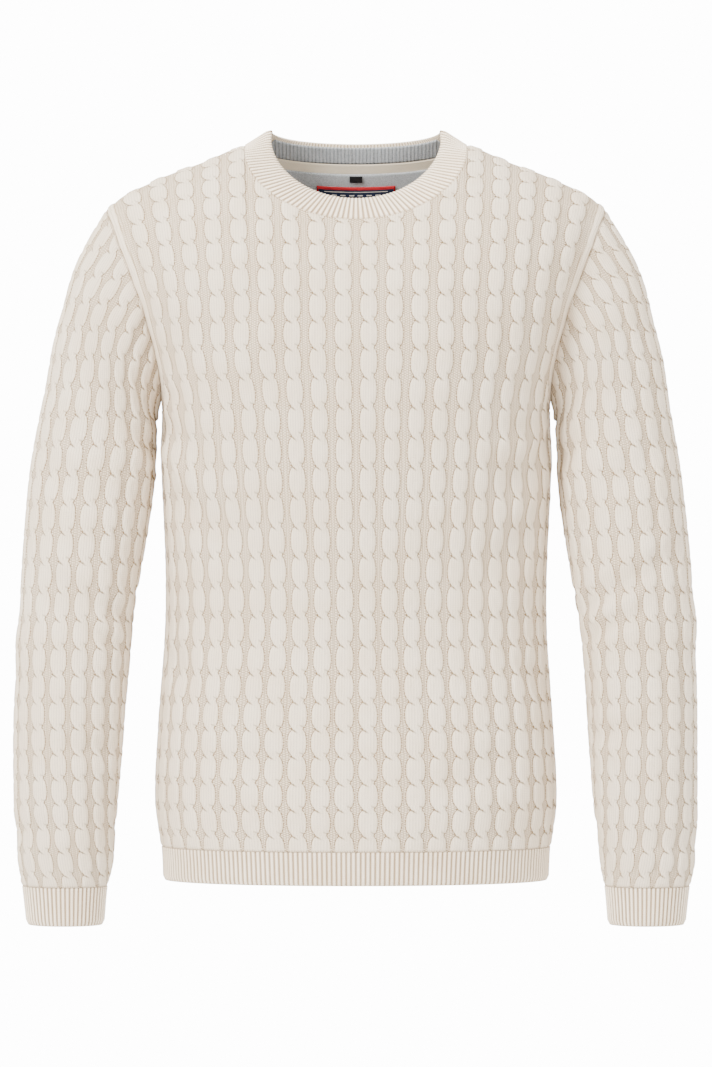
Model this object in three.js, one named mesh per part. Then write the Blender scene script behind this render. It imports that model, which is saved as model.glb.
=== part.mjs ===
import * as THREE from "three";

// A long-sleeved cable knit sweater with a crew neck, as it hangs on a wearer with the arms down.
// Millimetres. Z is up, the front faces minus Y, and plus X is the viewer's right.
// The origin is the middle of the neck on the line of the shoulders.

// Cloth
const WALL = 2.6; // plain knit between the cables
const CABLE_RISE = 2.2; // a cable above the knit between cables
const BAND_RISE = 1.2; // the plain band along an armhole above the knit
const RIB_RISE = 0.75;
const RIB_TOP = -0.7; // a rib's ridge, measured from the tops of the cables
const SEAM_LIFT = -1.5; // the outside of a seam, measured from the tops of the cables
const INSIDE = -CABLE_RISE - WALL; // the inside of the cloth, measured the same way
const SEAM_GAP = 0.3;
const HALF_GAP = SEAM_GAP / 2;

// Cable columns and their crossings
const COLUMNS = 11; // columns from the middle of a panel to its side seam
const ARMHOLE_COLUMNS = 9; // whole columns between the middle and the armhole
const CABLE_HALF = 0.36; // half of a cable's width, in columns
const CABLE_END = 0.29; // the same where a cable runs into a seam
const CABLE_LOW = -0.2; // a cable's edge between two crossings, from the cable's top
const CROSS_SHIFT = 0.12; // how far a crossing pushes one side up and the other down, in rows
const CHEST_PITCH = 23.3;
const SHOULDER_PITCH = 24.7;
const ROW_PITCH = 27.4;
const HEM_ROW_PITCH = 24.4;
const FIRST_ROW = -640;

// Body
const HEM_BOTTOM = -680;
const HEM_SEAM = -649;
const YOKE_FOOT = -150; // above this height the body turns in to the shoulder line
// Between these heights the body's sides run straight, and its plain lines have points only there.
const LEVELS = [HEM_BOTTOM, HEM_SEAM, -606, -530, -448, -385, -300, -215, YOKE_FOOT];
const YOKE_PITCH = { front: 35, back: 27.4 }; // between the points of a plain line on the yoke
const SHOULDER_Y = 6;
const UNDERARM = -236;
const SCOOP_TOP = -190;
const EDGE_MARGIN = 11; // cables stop this far from a neck, shoulder or armhole seam
const FRINGE = 15; // the panels' plain inside is finer this far from their top seams
const HEM_RIBS = 210;
const HEM_INSIDE_STEPS = 46;

// Half widths and depths of level sections of the body, over the tops of the cables
const BODY = [
  { z: -680, halfWidth: 180, front: 107, back: 111, power: 2.1 },
  { z: -649, halfWidth: 181.5, front: 110, back: 114, power: 2.1 },
  { z: -606, halfWidth: 187, front: 114, back: 117, power: 2.1 },
  { z: -537, halfWidth: 184, front: 110, back: 111, power: 2.15 },
  { z: -448, halfWidth: 177.5, front: 101, back: 102, power: 2.15 },
  { z: -389, halfWidth: 177, front: 103, back: 104, power: 2.2 },
  { z: -288, halfWidth: 181.5, front: 114, back: 110, power: 2.25 },
  { z: -234, halfWidth: 181, front: 120, back: 113, power: 2.35 },
  { z: -190, halfWidth: 190, front: 122, back: 114, power: 2.5 },
  { z: -150, halfWidth: 205, front: 118, back: 112, power: 2.6 },
];

// The line of the shoulders. Inside the neck it only guides the cloth up to the neckline.
const SHOULDER_LINE = [
  { x: 0, z: 13 },
  { x: 60, z: 10.5 },
  { x: 104, z: 4 },
  { x: 117, z: 0 },
  { x: 139, z: -10 },
  { x: 173, z: -22.5 },
  { x: 192.5, z: -31 },
  { x: 218.6, z: -44 },
  { x: 233, z: -57 },
];

// Neck
const NECK_COLUMNS = 4.5 - CABLE_END; // the neck's corner, in columns from the middle
const NECK_HALF_WIDTH = SHOULDER_PITCH * NECK_COLUMNS;
const NECK_CORNER = NECK_COLUMNS / COLUMNS;
const NECK_DROP = { front: 74, back: 18 };
const NECK_TOP = { halfWidth: 80, z: 15.5, frontY: -69, backY: 50, frontDrop: 66.5, backDrop: 7.5 };
const NECK_RIBS = 120;
const NECK_PART = 0.3; // the neckband starts this far above the seam, as its cloth bends there
const NECK_INSIDE_STEPS = 40;

// Thin pieces inside the back of the neck. Heights on the neckband are shares of its own height.
const LINING_END = 0.36; // the lining and tape stop this near to the shoulder seams
const TRIM = 0.9; // thickness of the lining, tape and facing
const TRIM_CLEAR = 1.1;
const LINING = { low: 0.25, high: 0.8 };
const TAPE = { rise: 0.22, drop: 6 };
const FACING = { halfU: 0.3, depth: 75, least: 8, clear: 2.3, rows: 4, below: 1 };
const NECK_TURN = 24; // the back's cloth turns in to the neck seam over this length
const LABEL_CLEAR = 0.8;
const NECK_LABEL = { halfU: 0.137, drop: 18, height: 45, thickness: 0.6, rows: 3, columns: 4 };
const SIZE_TAB = { halfU: 0.0215, drop: 8, height: 7.4, thickness: 0.5, rows: 1, columns: 1 };

// Sleeve sections: the outer and inner ends, the middle in Y and the half depth, over the cables.
// Section 0 is the armhole, 9 the cuff seam and 10 the cuff's edge.
const SLEEVE = [
  { at: 0, outerX: 233, outerZ: -57, innerX: 182, innerZ: -236, y: 0, halfDepth: 50 },
  { at: 1, outerX: 264.5, outerZ: -118, innerX: 184.4, innerZ: -250, y: -2, halfDepth: 57 },
  { at: 2, outerX: 284, outerZ: -197, innerX: 185.4, innerZ: -266, y: -4, halfDepth: 59 },
  { at: 3, outerX: 299, outerZ: -278, innerX: 186.6, innerZ: -298, y: -7, halfDepth: 59 },
  { at: 4, outerX: 305, outerZ: -327, innerX: 190.2, innerZ: -334, y: -10, halfDepth: 58 },
  { at: 5, outerX: 312.3, outerZ: -420, innerX: 202.9, innerZ: -420, y: -18, halfDepth: 54.5 },
  { at: 6, outerX: 316.4, outerZ: -512, innerX: 212.7, innerZ: -512, y: -27, halfDepth: 51 },
  { at: 7, outerX: 315.4, outerZ: -604, innerX: 219, innerZ: -604, y: -37, halfDepth: 46.5 },
  { at: 8, outerX: 312.4, outerZ: -656, innerX: 223.6, innerZ: -656, y: -43, halfDepth: 41.5 },
  { at: 9, outerX: 308.4, outerZ: -683, innerX: 228, innerZ: -683, y: -46, halfDepth: 37 },
  { at: 10, outerX: 304.2, outerZ: -718.5, innerX: 231, innerZ: -718.5, y: -49.5, halfDepth: 33.5 },
];
const CUFF_SEAM = 9;
const CUFF_EDGE = 10;
const SLEEVE_COLUMNS = 8; // columns from the sleeve's outer line to its inner line
const STEADY_COLUMNS = 6; // of these, the ones that keep their width down to the cuff
const SLEEVE_PITCH = { top: 22.2, cuff: 19.4 };
const SLEEVE_ROW_PITCH = { cuff: 23, top: 27.4 };
const FULL_CABLE = { from: 18, to: 20 }; // a column narrower than this loses its cable
const CUFF_RIBS = 56;
const CUFF_INSIDE_STEPS = 14;
const CAP_FADE = 1.7; // the armhole's own shape fades out over this many sections
const CAP_LENGTH = 220; // the sleeve's plain lines have more points this near to the armhole
const PLAIN_EVERY = { cap: 2, arm: 3 }; // a plain line has a point at every second or third crossing
const PATH_STEPS = 90;
const ARM_UP = new THREE.Vector3(0.5, 0, 0.87); // out of the armhole's top, square to the arm

const FRONT = -1;
const BACK = 1;

const CREAM = "#e8e0d4";
const GREY = "#a9acae";
const NAVY = "#20263a";
const BLACK = "#1c1c20";

function knit(color) {
  return new THREE.MeshStandardMaterial({ color, roughness: 0.92, metalness: 0 });
}

function mix(a, b, t) {
  return a + (b - a) * t;
}

function ease(t) {
  const held = Math.min(1, Math.max(0, t));
  return held * held * (3 - 2 * held);
}

// Reads one column of a table at a value of its key column, along a smooth curve through its rows.
function readTable(rows, key, at, column) {
  const rising = rows[0][key] < rows[rows.length - 1][key];
  const sorted = rising ? rows : [...rows].reverse();
  const held = Math.min(sorted[sorted.length - 1][key], Math.max(sorted[0][key], at));
  const next = Math.max(1, sorted.findIndex((row) => row[key] >= held));
  const before = sorted[next - 1];
  const after = sorted[next];
  const slope = (low, high) => (high[column] - low[column]) / (high[key] - low[key]);
  const startSlope = slope(sorted[Math.max(0, next - 2)], after);
  const endSlope = slope(before, sorted[Math.min(sorted.length - 1, next + 1)]);
  const span = after[key] - before[key];
  const t = (held - before[key]) / span;
  const curveIn = t * (1 - t) * (1 - t) * span * startSlope;
  const curveOut = t * t * (t - 1) * span * endSlope;
  return mix(before[column], after[column], ease(t)) + curveIn + curveOut;
}

// Finds where a rising list of lengths reaches a length, as an index with a fraction.
function placeIn(lengths, length) {
  let index = 0;
  while (index < lengths.length - 2 && lengths[index + 1] < length) {
    index += 1;
  }
  return index + (length - lengths[index]) / (lengths[index + 1] - lengths[index]);
}

function lengthsOf(points) {
  const lengths = [0];
  for (let index = 1; index < points.length; index += 1) {
    lengths.push(lengths[index - 1] + points[index].distanceTo(points[index - 1]));
  }
  return lengths;
}

// Keeps the results of a slow function.
function remember(work) {
  const known = new Map();
  return (...inputs) => {
    const name = inputs.map((input) => Number(input).toFixed(6)).join(" ");
    if (!known.has(name)) {
      known.set(name, work(...inputs));
    }
    return known.get(name);
  };
}

// A level quarter of the body, from the middle of a panel to its side, as points and lengths.
const QUARTER_STEPS = 90;
const bodyQuarter = remember((side, z) => {
  const halfWidth = readTable(BODY, "z", z, "halfWidth");
  const depth = readTable(BODY, "z", z, side === FRONT ? "front" : "back");
  const power = 2 / readTable(BODY, "z", z, "power");
  const at = (step) => {
    const angle = ((Math.PI / 2) * step) / QUARTER_STEPS;
    const x = halfWidth * Math.sin(angle) ** power;
    const y = side * depth * Math.max(0, Math.cos(angle)) ** power;
    return new THREE.Vector3(x, Math.abs(y) < 1e-6 ? 0 : y, z);
  };
  const points = Array.from({ length: QUARTER_STEPS + 1 }, (_, step) => at(step));
  return { at, lengths: lengthsOf(points) };
});

// A point of the body's level section. u is 0 in the middle of a panel and 1 at its side.
function sectionPoint(side, u, z) {
  const quarter = bodyQuarter(side, z);
  const whole = quarter.lengths[QUARTER_STEPS];
  const reach = mix(whole, COLUMNS * CHEST_PITCH, ease((z - UNDERARM) / (YOKE_FOOT - UNDERARM)));
  const point = quarter.at(placeIn(quarter.lengths, Math.abs(u) * reach));
  point.x *= Math.sign(u);
  return point;
}

// A point of the body below the yoke, on a straight line between the sections of two levels.
function bodyPoint(side, u, z) {
  const next = Math.max(1, LEVELS.findIndex((level) => level >= z));
  const [low, high] = [LEVELS[next - 1], LEVELS[next]];
  return sectionPoint(side, u, low).lerp(sectionPoint(side, u, high), (z - low) / (high - low));
}

// The cloth of one line of the yoke, which curves over from the chest to the shoulder line.
const YOKE_STEPS = 40;
const yokeLine = remember((side, u) => {
  const foot = bodyPoint(side, u, YOKE_FOOT);
  const topX = SHOULDER_PITCH * COLUMNS * u;
  const topZ = readTable(SHOULDER_LINE, "x", Math.abs(topX), "z");
  const middlePower = side === FRONT ? 1.45 : 2.1;
  const power = 2 / mix(middlePower, 2, ease(Math.abs(u) / 0.6));
  const at = (step) => {
    const angle = ((Math.PI / 2) * step) / YOKE_STEPS;
    const rise = Math.sin(angle) ** power;
    const turn = Math.max(0, Math.cos(angle)) ** power;
    const y = mix(SHOULDER_Y, foot.y, turn < 1e-6 ? 0 : turn);
    return new THREE.Vector3(mix(foot.x, topX, rise), y, mix(YOKE_FOOT, topZ, rise));
  };
  const points = Array.from({ length: YOKE_STEPS + 1 }, (_, step) => at(step));
  const lengths = lengthsOf(points);
  return { at, lengths, top: YOKE_FOOT + lengths[YOKE_STEPS] };
});

// A point over the tops of the cables. s is the height, and above the yoke's foot the cloth's length.
function torsoPoint(side, u, s) {
  if (s <= YOKE_FOOT) {
    return bodyPoint(side, u, s);
  }
  const line = yokeLine(side, u);
  return line.at(placeIn(line.lengths, Math.min(s, line.top) - YOKE_FOOT));
}

function torsoNormal(side, u, s) {
  const top = yokeLine(side, u).top;
  const uStep = 0.006;
  const sStep = 2;
  const right = torsoPoint(side, Math.min(1, u + uStep), s);
  const left = torsoPoint(side, Math.max(-1, u - uStep), s);
  const above = torsoPoint(side, u, Math.min(top, s + sStep));
  const below = torsoPoint(side, u, Math.min(top, s + sStep) - 2 * sStep);
  const normal = right.sub(left).cross(above.sub(below));
  if (Math.abs(u) === 1 || s >= top) {
    normal.y = 0;
  }
  return normal.multiplyScalar(-side).normalize();
}

// A point of a panel, lifted from the tops of the cables, and parted at the side and shoulder seams.
function torsoCloth(side, u, s, lift) {
  const point = torsoPoint(side, u, s).addScaledVector(torsoNormal(side, u, s), lift);
  if (Math.abs(u) === 1) {
    point.y = side * HALF_GAP;
  }
  if (s >= yokeLine(side, u).top) {
    point.y = SHOULDER_Y + side * HALF_GAP;
  }
  return point;
}

// The height along the cloth where a line of a panel meets the neckline.
const neckHeight = remember((side, u) => {
  const drop = side === FRONT ? NECK_DROP.front : NECK_DROP.back;
  const cornerZ = readTable(SHOULDER_LINE, "x", NECK_HALF_WIDTH, "z");
  let low = YOKE_FOOT;
  let high = yokeLine(side, u).top;
  if (Math.abs(u) >= NECK_CORNER) {
    return high;
  }
  for (let tries = 0; tries < 40; tries += 1) {
    const middle = (low + high) / 2;
    const point = torsoPoint(side, u, middle);
    const across = Math.min(1, Math.abs(point.x) / NECK_HALF_WIDTH);
    const isOver = point.z > cornerZ - drop * Math.sqrt(1 - across * across);
    high = isOver ? middle : high;
    low = isOver ? low : middle;
  }
  return (low + high) / 2;
});

// Near the neck's corner a line leans over to it, so that the neckline's points lie closer there.
function neckLean(u) {
  const share = Math.min(1, Math.abs(u) / NECK_CORNER);
  const evenShare = Math.sin((Math.PI / 2) * share);
  return Math.sign(u) * NECK_CORNER * mix(share, evenShare, share ** 8);
}

// The neckband's upper edge. share runs 0 to 1 from the middle of the front or back to the side.
function neckTopPoint(side, share, hand) {
  const angle = (Math.PI / 2) * share;
  const drop = side === FRONT ? NECK_TOP.frontDrop : NECK_TOP.backDrop;
  const reach = side === FRONT ? NECK_TOP.frontY : NECK_TOP.backY;
  const y = mix(SHOULDER_Y - 3, reach, Math.cos(angle));
  const x = hand * NECK_TOP.halfWidth * Math.sin(angle);
  return new THREE.Vector3(x, y, NECK_TOP.z - drop * Math.cos(angle));
}

// The seam of the neckband at a line of a panel: its point, its outward normal and the way up.
const neckSeam = remember((side, u) => {
  const s = neckHeight(side, u);
  const point = torsoPoint(side, u, s);
  const share = (2 / Math.PI) * Math.asin(Math.min(1, Math.abs(point.x) / NECK_HALF_WIDTH));
  const up = neckTopPoint(side, share, Math.sign(u)).sub(point);
  const step = 0.004;
  const ahead = Math.min(NECK_CORNER, u + step);
  const behind = Math.max(-NECK_CORNER, u - step);
  const along = torsoPoint(side, ahead, neckHeight(side, ahead));
  along.sub(torsoPoint(side, behind, neckHeight(side, behind)));
  if (Math.abs(u) >= NECK_CORNER) {
    along.set(0, -side * Math.sign(u), 0);
  }
  along.normalize();
  const bandNormal = along.clone().cross(up).multiplyScalar(-side).normalize();
  const normal = torsoNormal(side, u, s).add(bandNormal).normalize();
  const across = normal.clone().cross(along).multiplyScalar(side).normalize();
  return { point, normal, across: across.multiplyScalar(Math.sign(across.dot(up))) };
});

function neckEdge(side, u, lift) {
  const seam = neckSeam(side, u);
  const point = seam.point.clone().addScaledVector(seam.normal, lift);
  point.addScaledVector(seam.across, -HALF_GAP);
  if (Math.abs(u) >= NECK_CORNER) {
    point.y = SHOULDER_Y + side * HALF_GAP;
  }
  return point;
}

// Armholes

// A place on an armhole, from 0 at the shoulder to 1 under the arm.
const SCOOP_START = 0.72;
const ARMHOLE_U = (ARMHOLE_COLUMNS + 0.43) / COLUMNS;
const BAND_FOOT = (ARMHOLE_COLUMNS + 0.07) / COLUMNS;
const BAND_START = 20; // the band begins this far below the straight part of the armhole

function armholePlace(side, at) {
  const top = yokeLine(side, ARMHOLE_U).top;
  const angle = Math.max(0, (at - SCOOP_START) / (1 - SCOOP_START)) * (Math.PI / 2);
  const straight = Math.min(1, at / SCOOP_START);
  const s = mix(top, SCOOP_TOP, straight) - (SCOOP_TOP - UNDERARM) * Math.sin(angle);
  return { u: mix(1, ARMHOLE_U, Math.cos(angle)), s };
}

// Where on the scoop the armhole crosses a line of the panel.
function scoopAt(u) {
  const angle = Math.acos(Math.max(0, (1 - u) / (1 - ARMHOLE_U)));
  return mix(SCOOP_START, 1, angle / (Math.PI / 2));
}

const FAR_LINE = (ARMHOLE_COLUMNS + 0.5 + CABLE_END) / COLUMNS;
const SCOOP_CABLE = [10.5 - CABLE_END, 10.5 + CABLE_END];
const STRAIGHT_STEPS = 10;
const ARMHOLE_ATS = [
  ...Array.from({ length: STRAIGHT_STEPS + 1 }, (_, step) => (SCOOP_START * step) / STRAIGHT_STEPS),
  SCOOP_START + 0.045,
  SCOOP_START + 0.09,
  scoopAt(FAR_LINE),
  ...[10, ...SCOOP_CABLE, COLUMNS].map((column) => scoopAt(column / COLUMNS)),
];

function armholeTop(side, hand, at) {
  const place = armholePlace(side, at);
  return torsoPoint(side, hand * place.u, place.s);
}

// The seam of a sleeve: its point, its outward normal and the way across it to the sleeve.
const armholeSeam = remember((side, hand, at) => {
  const place = armholePlace(side, at);
  const point = torsoPoint(side, hand * place.u, place.s);
  const step = 0.01;
  const along = armholeTop(side, hand, Math.min(1, at + step));
  along.sub(armholeTop(side, hand, Math.max(0, at - step)));
  if (at === 0 || at === 1) {
    along.set(0, at === 0 ? side : -side, 0);
  }
  along.normalize();
  const normal = ARM_UP.clone().multiplyScalar(Math.cos(Math.PI * at));
  normal.x *= hand;
  normal.y = side * Math.sin(Math.PI * at);
  normal.addScaledVector(torsoNormal(side, hand * place.u, place.s), 0.5);
  normal.addScaledVector(along, -normal.dot(along)).normalize();
  const across = normal.clone().cross(along).normalize();
  return { point, normal, across: across.multiplyScalar(Math.sign(across.x * hand - across.z)) };
});

function armholeEdge(side, hand, at, lift) {
  const seam = armholeSeam(side, hand, at);
  const point = seam.point.clone().addScaledVector(seam.normal, lift);
  point.addScaledVector(seam.across, -HALF_GAP);
  if (at === 0) {
    point.y = SHOULDER_Y + side * HALF_GAP;
  }
  if (at === 1) {
    point.y = side * HALF_GAP;
  }
  return point;
}

// A closed wall of cloth, gathered as points and triangles
class Wall {
  constructor() {
    this.positions = [];
    this.faces = [];
  }

  // Adds a point. along is its place on its own line, u across the cloth and at round an armhole.
  add(position, along, u = 0, at = 0) {
    this.positions.push(position);
    return { index: this.positions.length - 1, along, u, at };
  }

  face(a, b, c) {
    if (a.index !== b.index && b.index !== c.index && c.index !== a.index) {
      this.faces.push(a.index, b.index, c.index);
    }
  }

  // Fills the strip between two lines, stepping on whichever line is behind.
  strip(left, right, key = "along") {
    const sign = Math.sign(left[left.length - 1][key] - left[0][key]) || 1;
    let i = 0;
    let j = 0;
    while (i < left.length - 1 || j < right.length - 1) {
      const canLeft = i < left.length - 1;
      const canRight = j < right.length - 1;
      const leftFirst = canLeft && canRight && sign * (left[i + 1][key] - right[j + 1][key]) <= 0;
      if (canLeft && (!canRight || leftFirst)) {
        this.face(left[i], right[j], left[i + 1]);
        i += 1;
      } else {
        this.face(left[i], right[j], right[j + 1]);
        j += 1;
      }
    }
  }

  mesh(name, color) {
    const geometry = new THREE.BufferGeometry();
    const values = this.positions.flatMap((point) => [point.x, point.y, point.z]);
    geometry.setAttribute("position", new THREE.Float32BufferAttribute(values, 3));
    let volume = 0;
    for (let at = 0; at < this.faces.length; at += 3) {
      const [a, b, c] = [0, 1, 2].map((step) => this.positions[this.faces[at + step]]);
      volume += a.dot(b.clone().cross(c));
    }
    geometry.setIndex(volume > 0 ? this.faces : [...this.faces].reverse());
    geometry.computeVertexNormals();
    const mesh = new THREE.Mesh(geometry, knit(color));
    mesh.name = name;
    return mesh;
  }
}

// A tube from lines that run up it, all the way round. A line's first and last points close the rims.
function tube(name, color, outside, inside, wall) {
  const again = (line) => line.map((point) => ({ ...point, u: point.u + 1 }));
  const outer = [...outside, again(outside[0])];
  const inner = [...inside, again(inside[0])];
  for (let index = 1; index < outer.length; index += 1) {
    wall.strip(outer[index - 1], outer[index]);
  }
  for (let index = 1; index < inner.length; index += 1) {
    wall.strip(inner[index], inner[index - 1]);
  }
  const firsts = (lines) => lines.map((line) => line[0]);
  const lasts = (lines) => lines.map((line) => line[line.length - 1]).reverse();
  wall.strip(firsts(outer), firsts(inner), "u");
  wall.strip(lasts(outer), lasts(inner), "u");
  return wall.mesh(name, color);
}

// Heights of the crossings on the body, closer together above the hem
const BODY_ROWS = [FIRST_ROW];
while (BODY_ROWS[BODY_ROWS.length - 1] < 60) {
  const last = BODY_ROWS[BODY_ROWS.length - 1];
  BODY_ROWS.push(last + mix(HEM_ROW_PITCH, ROW_PITCH, ease((last - FIRST_ROW) / 240)));
}

// Heights of the points of a panel's plain lines, up to past the shoulder
function plainRows(pitch) {
  const rows = LEVELS.filter((level) => level > HEM_SEAM);
  while (rows[rows.length - 1] < 60) {
    rows.push(rows[rows.length - 1] + pitch);
  }
  return rows;
}
const PLAIN_ROWS = { [FRONT]: plainRows(YOKE_PITCH.front), [BACK]: plainRows(YOKE_PITCH.back) };

// The height where a line of a panel ends on the neckline, the shoulder seam or an armhole.
function lineTop(side, u) {
  const reach = Math.abs(u);
  return reach > ARMHOLE_U ? armholePlace(side, scoopAt(reach)).s : neckHeight(side, u);
}

function panelEnd(wall, side, u, lift) {
  const hand = Math.sign(u);
  if (Math.abs(u) > ARMHOLE_U) {
    const at = scoopAt(Math.abs(u));
    return wall.add(armholeEdge(side, hand, at, lift), lineTop(side, u), u, at);
  }
  if (Math.abs(u) < NECK_CORNER + 1e-6) {
    const leaned = neckLean(u);
    return wall.add(neckEdge(side, leaned, lift), neckHeight(side, leaned), u);
  }
  const top = neckHeight(side, u);
  return wall.add(torsoCloth(side, u, top, lift), top, u);
}

function panelStart(wall, side, u, lift) {
  return wall.add(torsoCloth(side, u, HEM_SEAM + HALF_GAP, lift), HEM_SEAM, u);
}

// A plain line of a panel, such as the valley between two cables, up to just below its end.
function plainLine(wall, side, u, lift, seamLift, topGap) {
  const rows = PLAIN_ROWS[side].filter((row) => row < lineTop(side, u) - topGap);
  const points = rows.map((row) => wall.add(torsoCloth(side, u, row, lift), row, u));
  return [panelStart(wall, side, u, seamLift), ...points];
}

// The two edges of one cable, which meet at each crossing.
function cableLines(wall, side, middle, top) {
  const left = [panelStart(wall, side, middle - CABLE_END / COLUMNS, SEAM_LIFT)];
  const right = [panelStart(wall, side, middle + CABLE_END / COLUMNS, SEAM_LIFT)];
  const last = top - EDGE_MARGIN;
  for (let row = 0; BODY_ROWS[row] < last; row += 1) {
    const s = BODY_ROWS[row];
    const pitch = BODY_ROWS[row + 1] - s;
    const crossing = wall.add(torsoCloth(side, middle, s, 0), s, middle);
    left.push(crossing);
    right.push(crossing);
    for (const [line, way] of [[left, -1], [right, 1]]) {
      const edgeS = s + pitch * (0.5 + side * way * CROSS_SHIFT);
      const u = middle + (way * CABLE_HALF) / COLUMNS;
      if (edgeS < last) {
        line.push(wall.add(torsoCloth(side, u, edgeS, CABLE_LOW), edgeS, u));
      }
    }
  }
  return [left, right];
}

// The line that turns from a cable's far edge into the armhole's edge.
function armholeLine(wall, side, hand, lift, start) {
  const ats = ARMHOLE_ATS.filter((at) => at <= scoopAt(FAR_LINE)).reverse();
  const edge = ats.map((at) => {
    const place = armholePlace(side, at);
    return wall.add(armholeEdge(side, hand, at, lift), place.s, hand * place.u, at);
  });
  return { points: [...start, ...edge], joint: start.length };
}

// The foot of the plain band beside an armhole.
function bandLine(wall, side, hand, start) {
  const u = hand * BAND_FOOT;
  const top = yokeLine(side, u).top;
  const rows = BODY_ROWS.filter((row) => row > SCOOP_TOP - BAND_START && row < top - EDGE_MARGIN);
  const band = rows.map((row) => wall.add(torsoCloth(side, u, row, BAND_RISE - CABLE_RISE), row, u));
  return [...start, ...band, wall.add(torsoCloth(side, u, top, SEAM_LIFT), top, u)];
}

// The lines of a panel's outside, in order of u from one side seam to the other.
function outsideLines(wall, side) {
  const lines = [];
  for (let column = -COLUMNS; column <= COLUMNS; column += 1) {
    const u = column / COLUMNS;
    const valley = plainLine(wall, side, u, -CABLE_RISE, SEAM_LIFT, EDGE_MARGIN);
    lines.push({ points: [...valley, panelEnd(wall, side, u, SEAM_LIFT)] });
    if (column < COLUMNS) {
      lines.push(...columnLines(wall, side, column + 0.5));
    }
  }
  return lines;
}

function columnLines(wall, side, column) {
  const hand = Math.sign(column);
  const middle = column / COLUMNS;
  const ends = [column - CABLE_END, column + CABLE_END].map((place) => place / COLUMNS);
  const isArmhole = Math.abs(column) === ARMHOLE_COLUMNS + 0.5;
  const top = isArmhole ? lineTop(side, FAR_LINE) : Math.min(...ends.map((u) => lineTop(side, u)));
  const pair = cableLines(wall, side, middle, top);
  if (isArmhole) {
    const [near, far] = hand > 0 ? pair : [...pair].reverse();
    const band = { points: bandLine(wall, side, hand, near) };
    const edge = armholeLine(wall, side, hand, SEAM_LIFT, far);
    return hand > 0 ? [band, edge] : [edge, band];
  }
  return pair.map((line, index) => {
    return { points: [...line, panelEnd(wall, side, ends[index], SEAM_LIFT)] };
  });
}

// The lines of a panel's plain inside. Between the armholes they stop just below the top seams.
function insideLines(wall, side) {
  const columns = [...Array(2 * COLUMNS + 1).keys()].map((step) => step - COLUMNS);
  const edges = [FAR_LINE * COLUMNS, ...SCOOP_CABLE];
  columns.push(...edges, ...edges.map((column) => -column));
  columns.sort((a, b) => a - b);
  return columns.map((column) => {
    const u = column / COLUMNS;
    const hand = Math.sign(u);
    const isCapped = Math.abs(column) > ARMHOLE_COLUMNS;
    const line = plainLine(wall, side, u, INSIDE, INSIDE, isCapped ? EDGE_MARGIN : FRINGE);
    if (Math.abs(u) === FAR_LINE) {
      return armholeLine(wall, side, hand, INSIDE, line);
    }
    return { points: isCapped ? [...line, panelEnd(wall, side, u, INSIDE)] : line };
  });
}

function lastOf(points) {
  return points[points.length - 1];
}

// Joins neighbouring lines. An armhole's line meets the shorter ones beside it only below its joint,
// and on the inside it meets the others only up to the fringe.
function joinLines(wall, lines, isInside) {
  for (let index = 1; index < lines.length; index += 1) {
    const [left, right] = [lines[index - 1], lines[index]];
    const cut = (line, other) => {
      const isShort = Math.abs(lastOf(other.points).u) > ARMHOLE_U;
      const end = isShort ? line.joint + 1 : line.points.length - (isInside ? 1 : 0);
      return line.joint ? line.points.slice(0, end) : line.points;
    };
    const pair = [cut(left, right), cut(right, left)];
    wall.strip(...(isInside ? pair.reverse() : pair));
  }
}

// The edges of a panel, in turn round it: bottom, side, armhole, top, armhole, side.
function bordersOf(lines, topEdge) {
  const edges = lines.filter((line) => line.joint);
  const [leftAt, rightAt] = edges.map((line) => lines.indexOf(line));
  const scoop = (some) => some.map((line) => lastOf(line.points));
  const straight = (line) => line.points.slice(line.joint);
  const rightArmhole = [...scoop(lines.slice(rightAt + 1)).reverse(), ...straight(edges[1])];
  const leftArmhole = [...scoop(lines.slice(0, leftAt)), ...straight(edges[0])].reverse();
  return [
    { key: "u", points: lines.map((line) => line.points[0]) },
    { key: "along", points: lastOf(lines).points },
    { key: "at", points: rightArmhole },
    { key: "u", points: [...topEdge].reverse() },
    { key: "at", points: leftArmhole },
    { key: "along", points: [...lines[0].points].reverse() },
  ];
}

function panel(name, side) {
  const wall = new Wall();
  const outside = outsideLines(wall, side);
  joinLines(wall, outside, false);
  const capped = outside.filter((line) => Math.abs(lastOf(line.points).u) < ARMHOLE_U + 1e-6);
  const outerTop = capped.map((line) => lastOf(line.points));
  const inside = insideLines(wall, side);
  joinLines(wall, inside, true);
  const innerEnds = inside.filter((line) => line.joint).map((line) => line.points);
  const innerTop = outerTop.slice(1, -1).map((point) => panelEnd(wall, side, point.u, INSIDE));
  innerTop.unshift(lastOf(innerEnds[0]));
  innerTop.push(lastOf(innerEnds[1]));
  const between = inside.filter((line) => Math.abs(line.points[0].u) < ARMHOLE_U);
  const below = between.map((line) => lastOf(line.points));
  below.unshift(innerEnds[0][innerEnds[0].length - 2]);
  below.push(innerEnds[1][innerEnds[1].length - 2]);
  wall.strip(below, innerTop, "u");
  const innerBorders = bordersOf(inside, innerTop);
  bordersOf(outside, outerTop).forEach((border, index) => {
    wall.strip(border.points, innerBorders[index].points, border.key);
  });
  return wall.mesh(name, CREAM);
}

// A closed or open path of seam points, read at a share of its length.
class SeamPath {
  constructor(points) {
    this.points = points;
    this.lengths = lengthsOf(points);
    this.whole = lastOf(this.lengths);
  }

  read(share) {
    const place = placeIn(this.lengths, share * this.whole);
    const index = Math.min(this.points.length - 2, Math.floor(place));
    return this.points[index].clone().lerp(this.points[index + 1], place - index);
  }
}

// Sleeves

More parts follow.
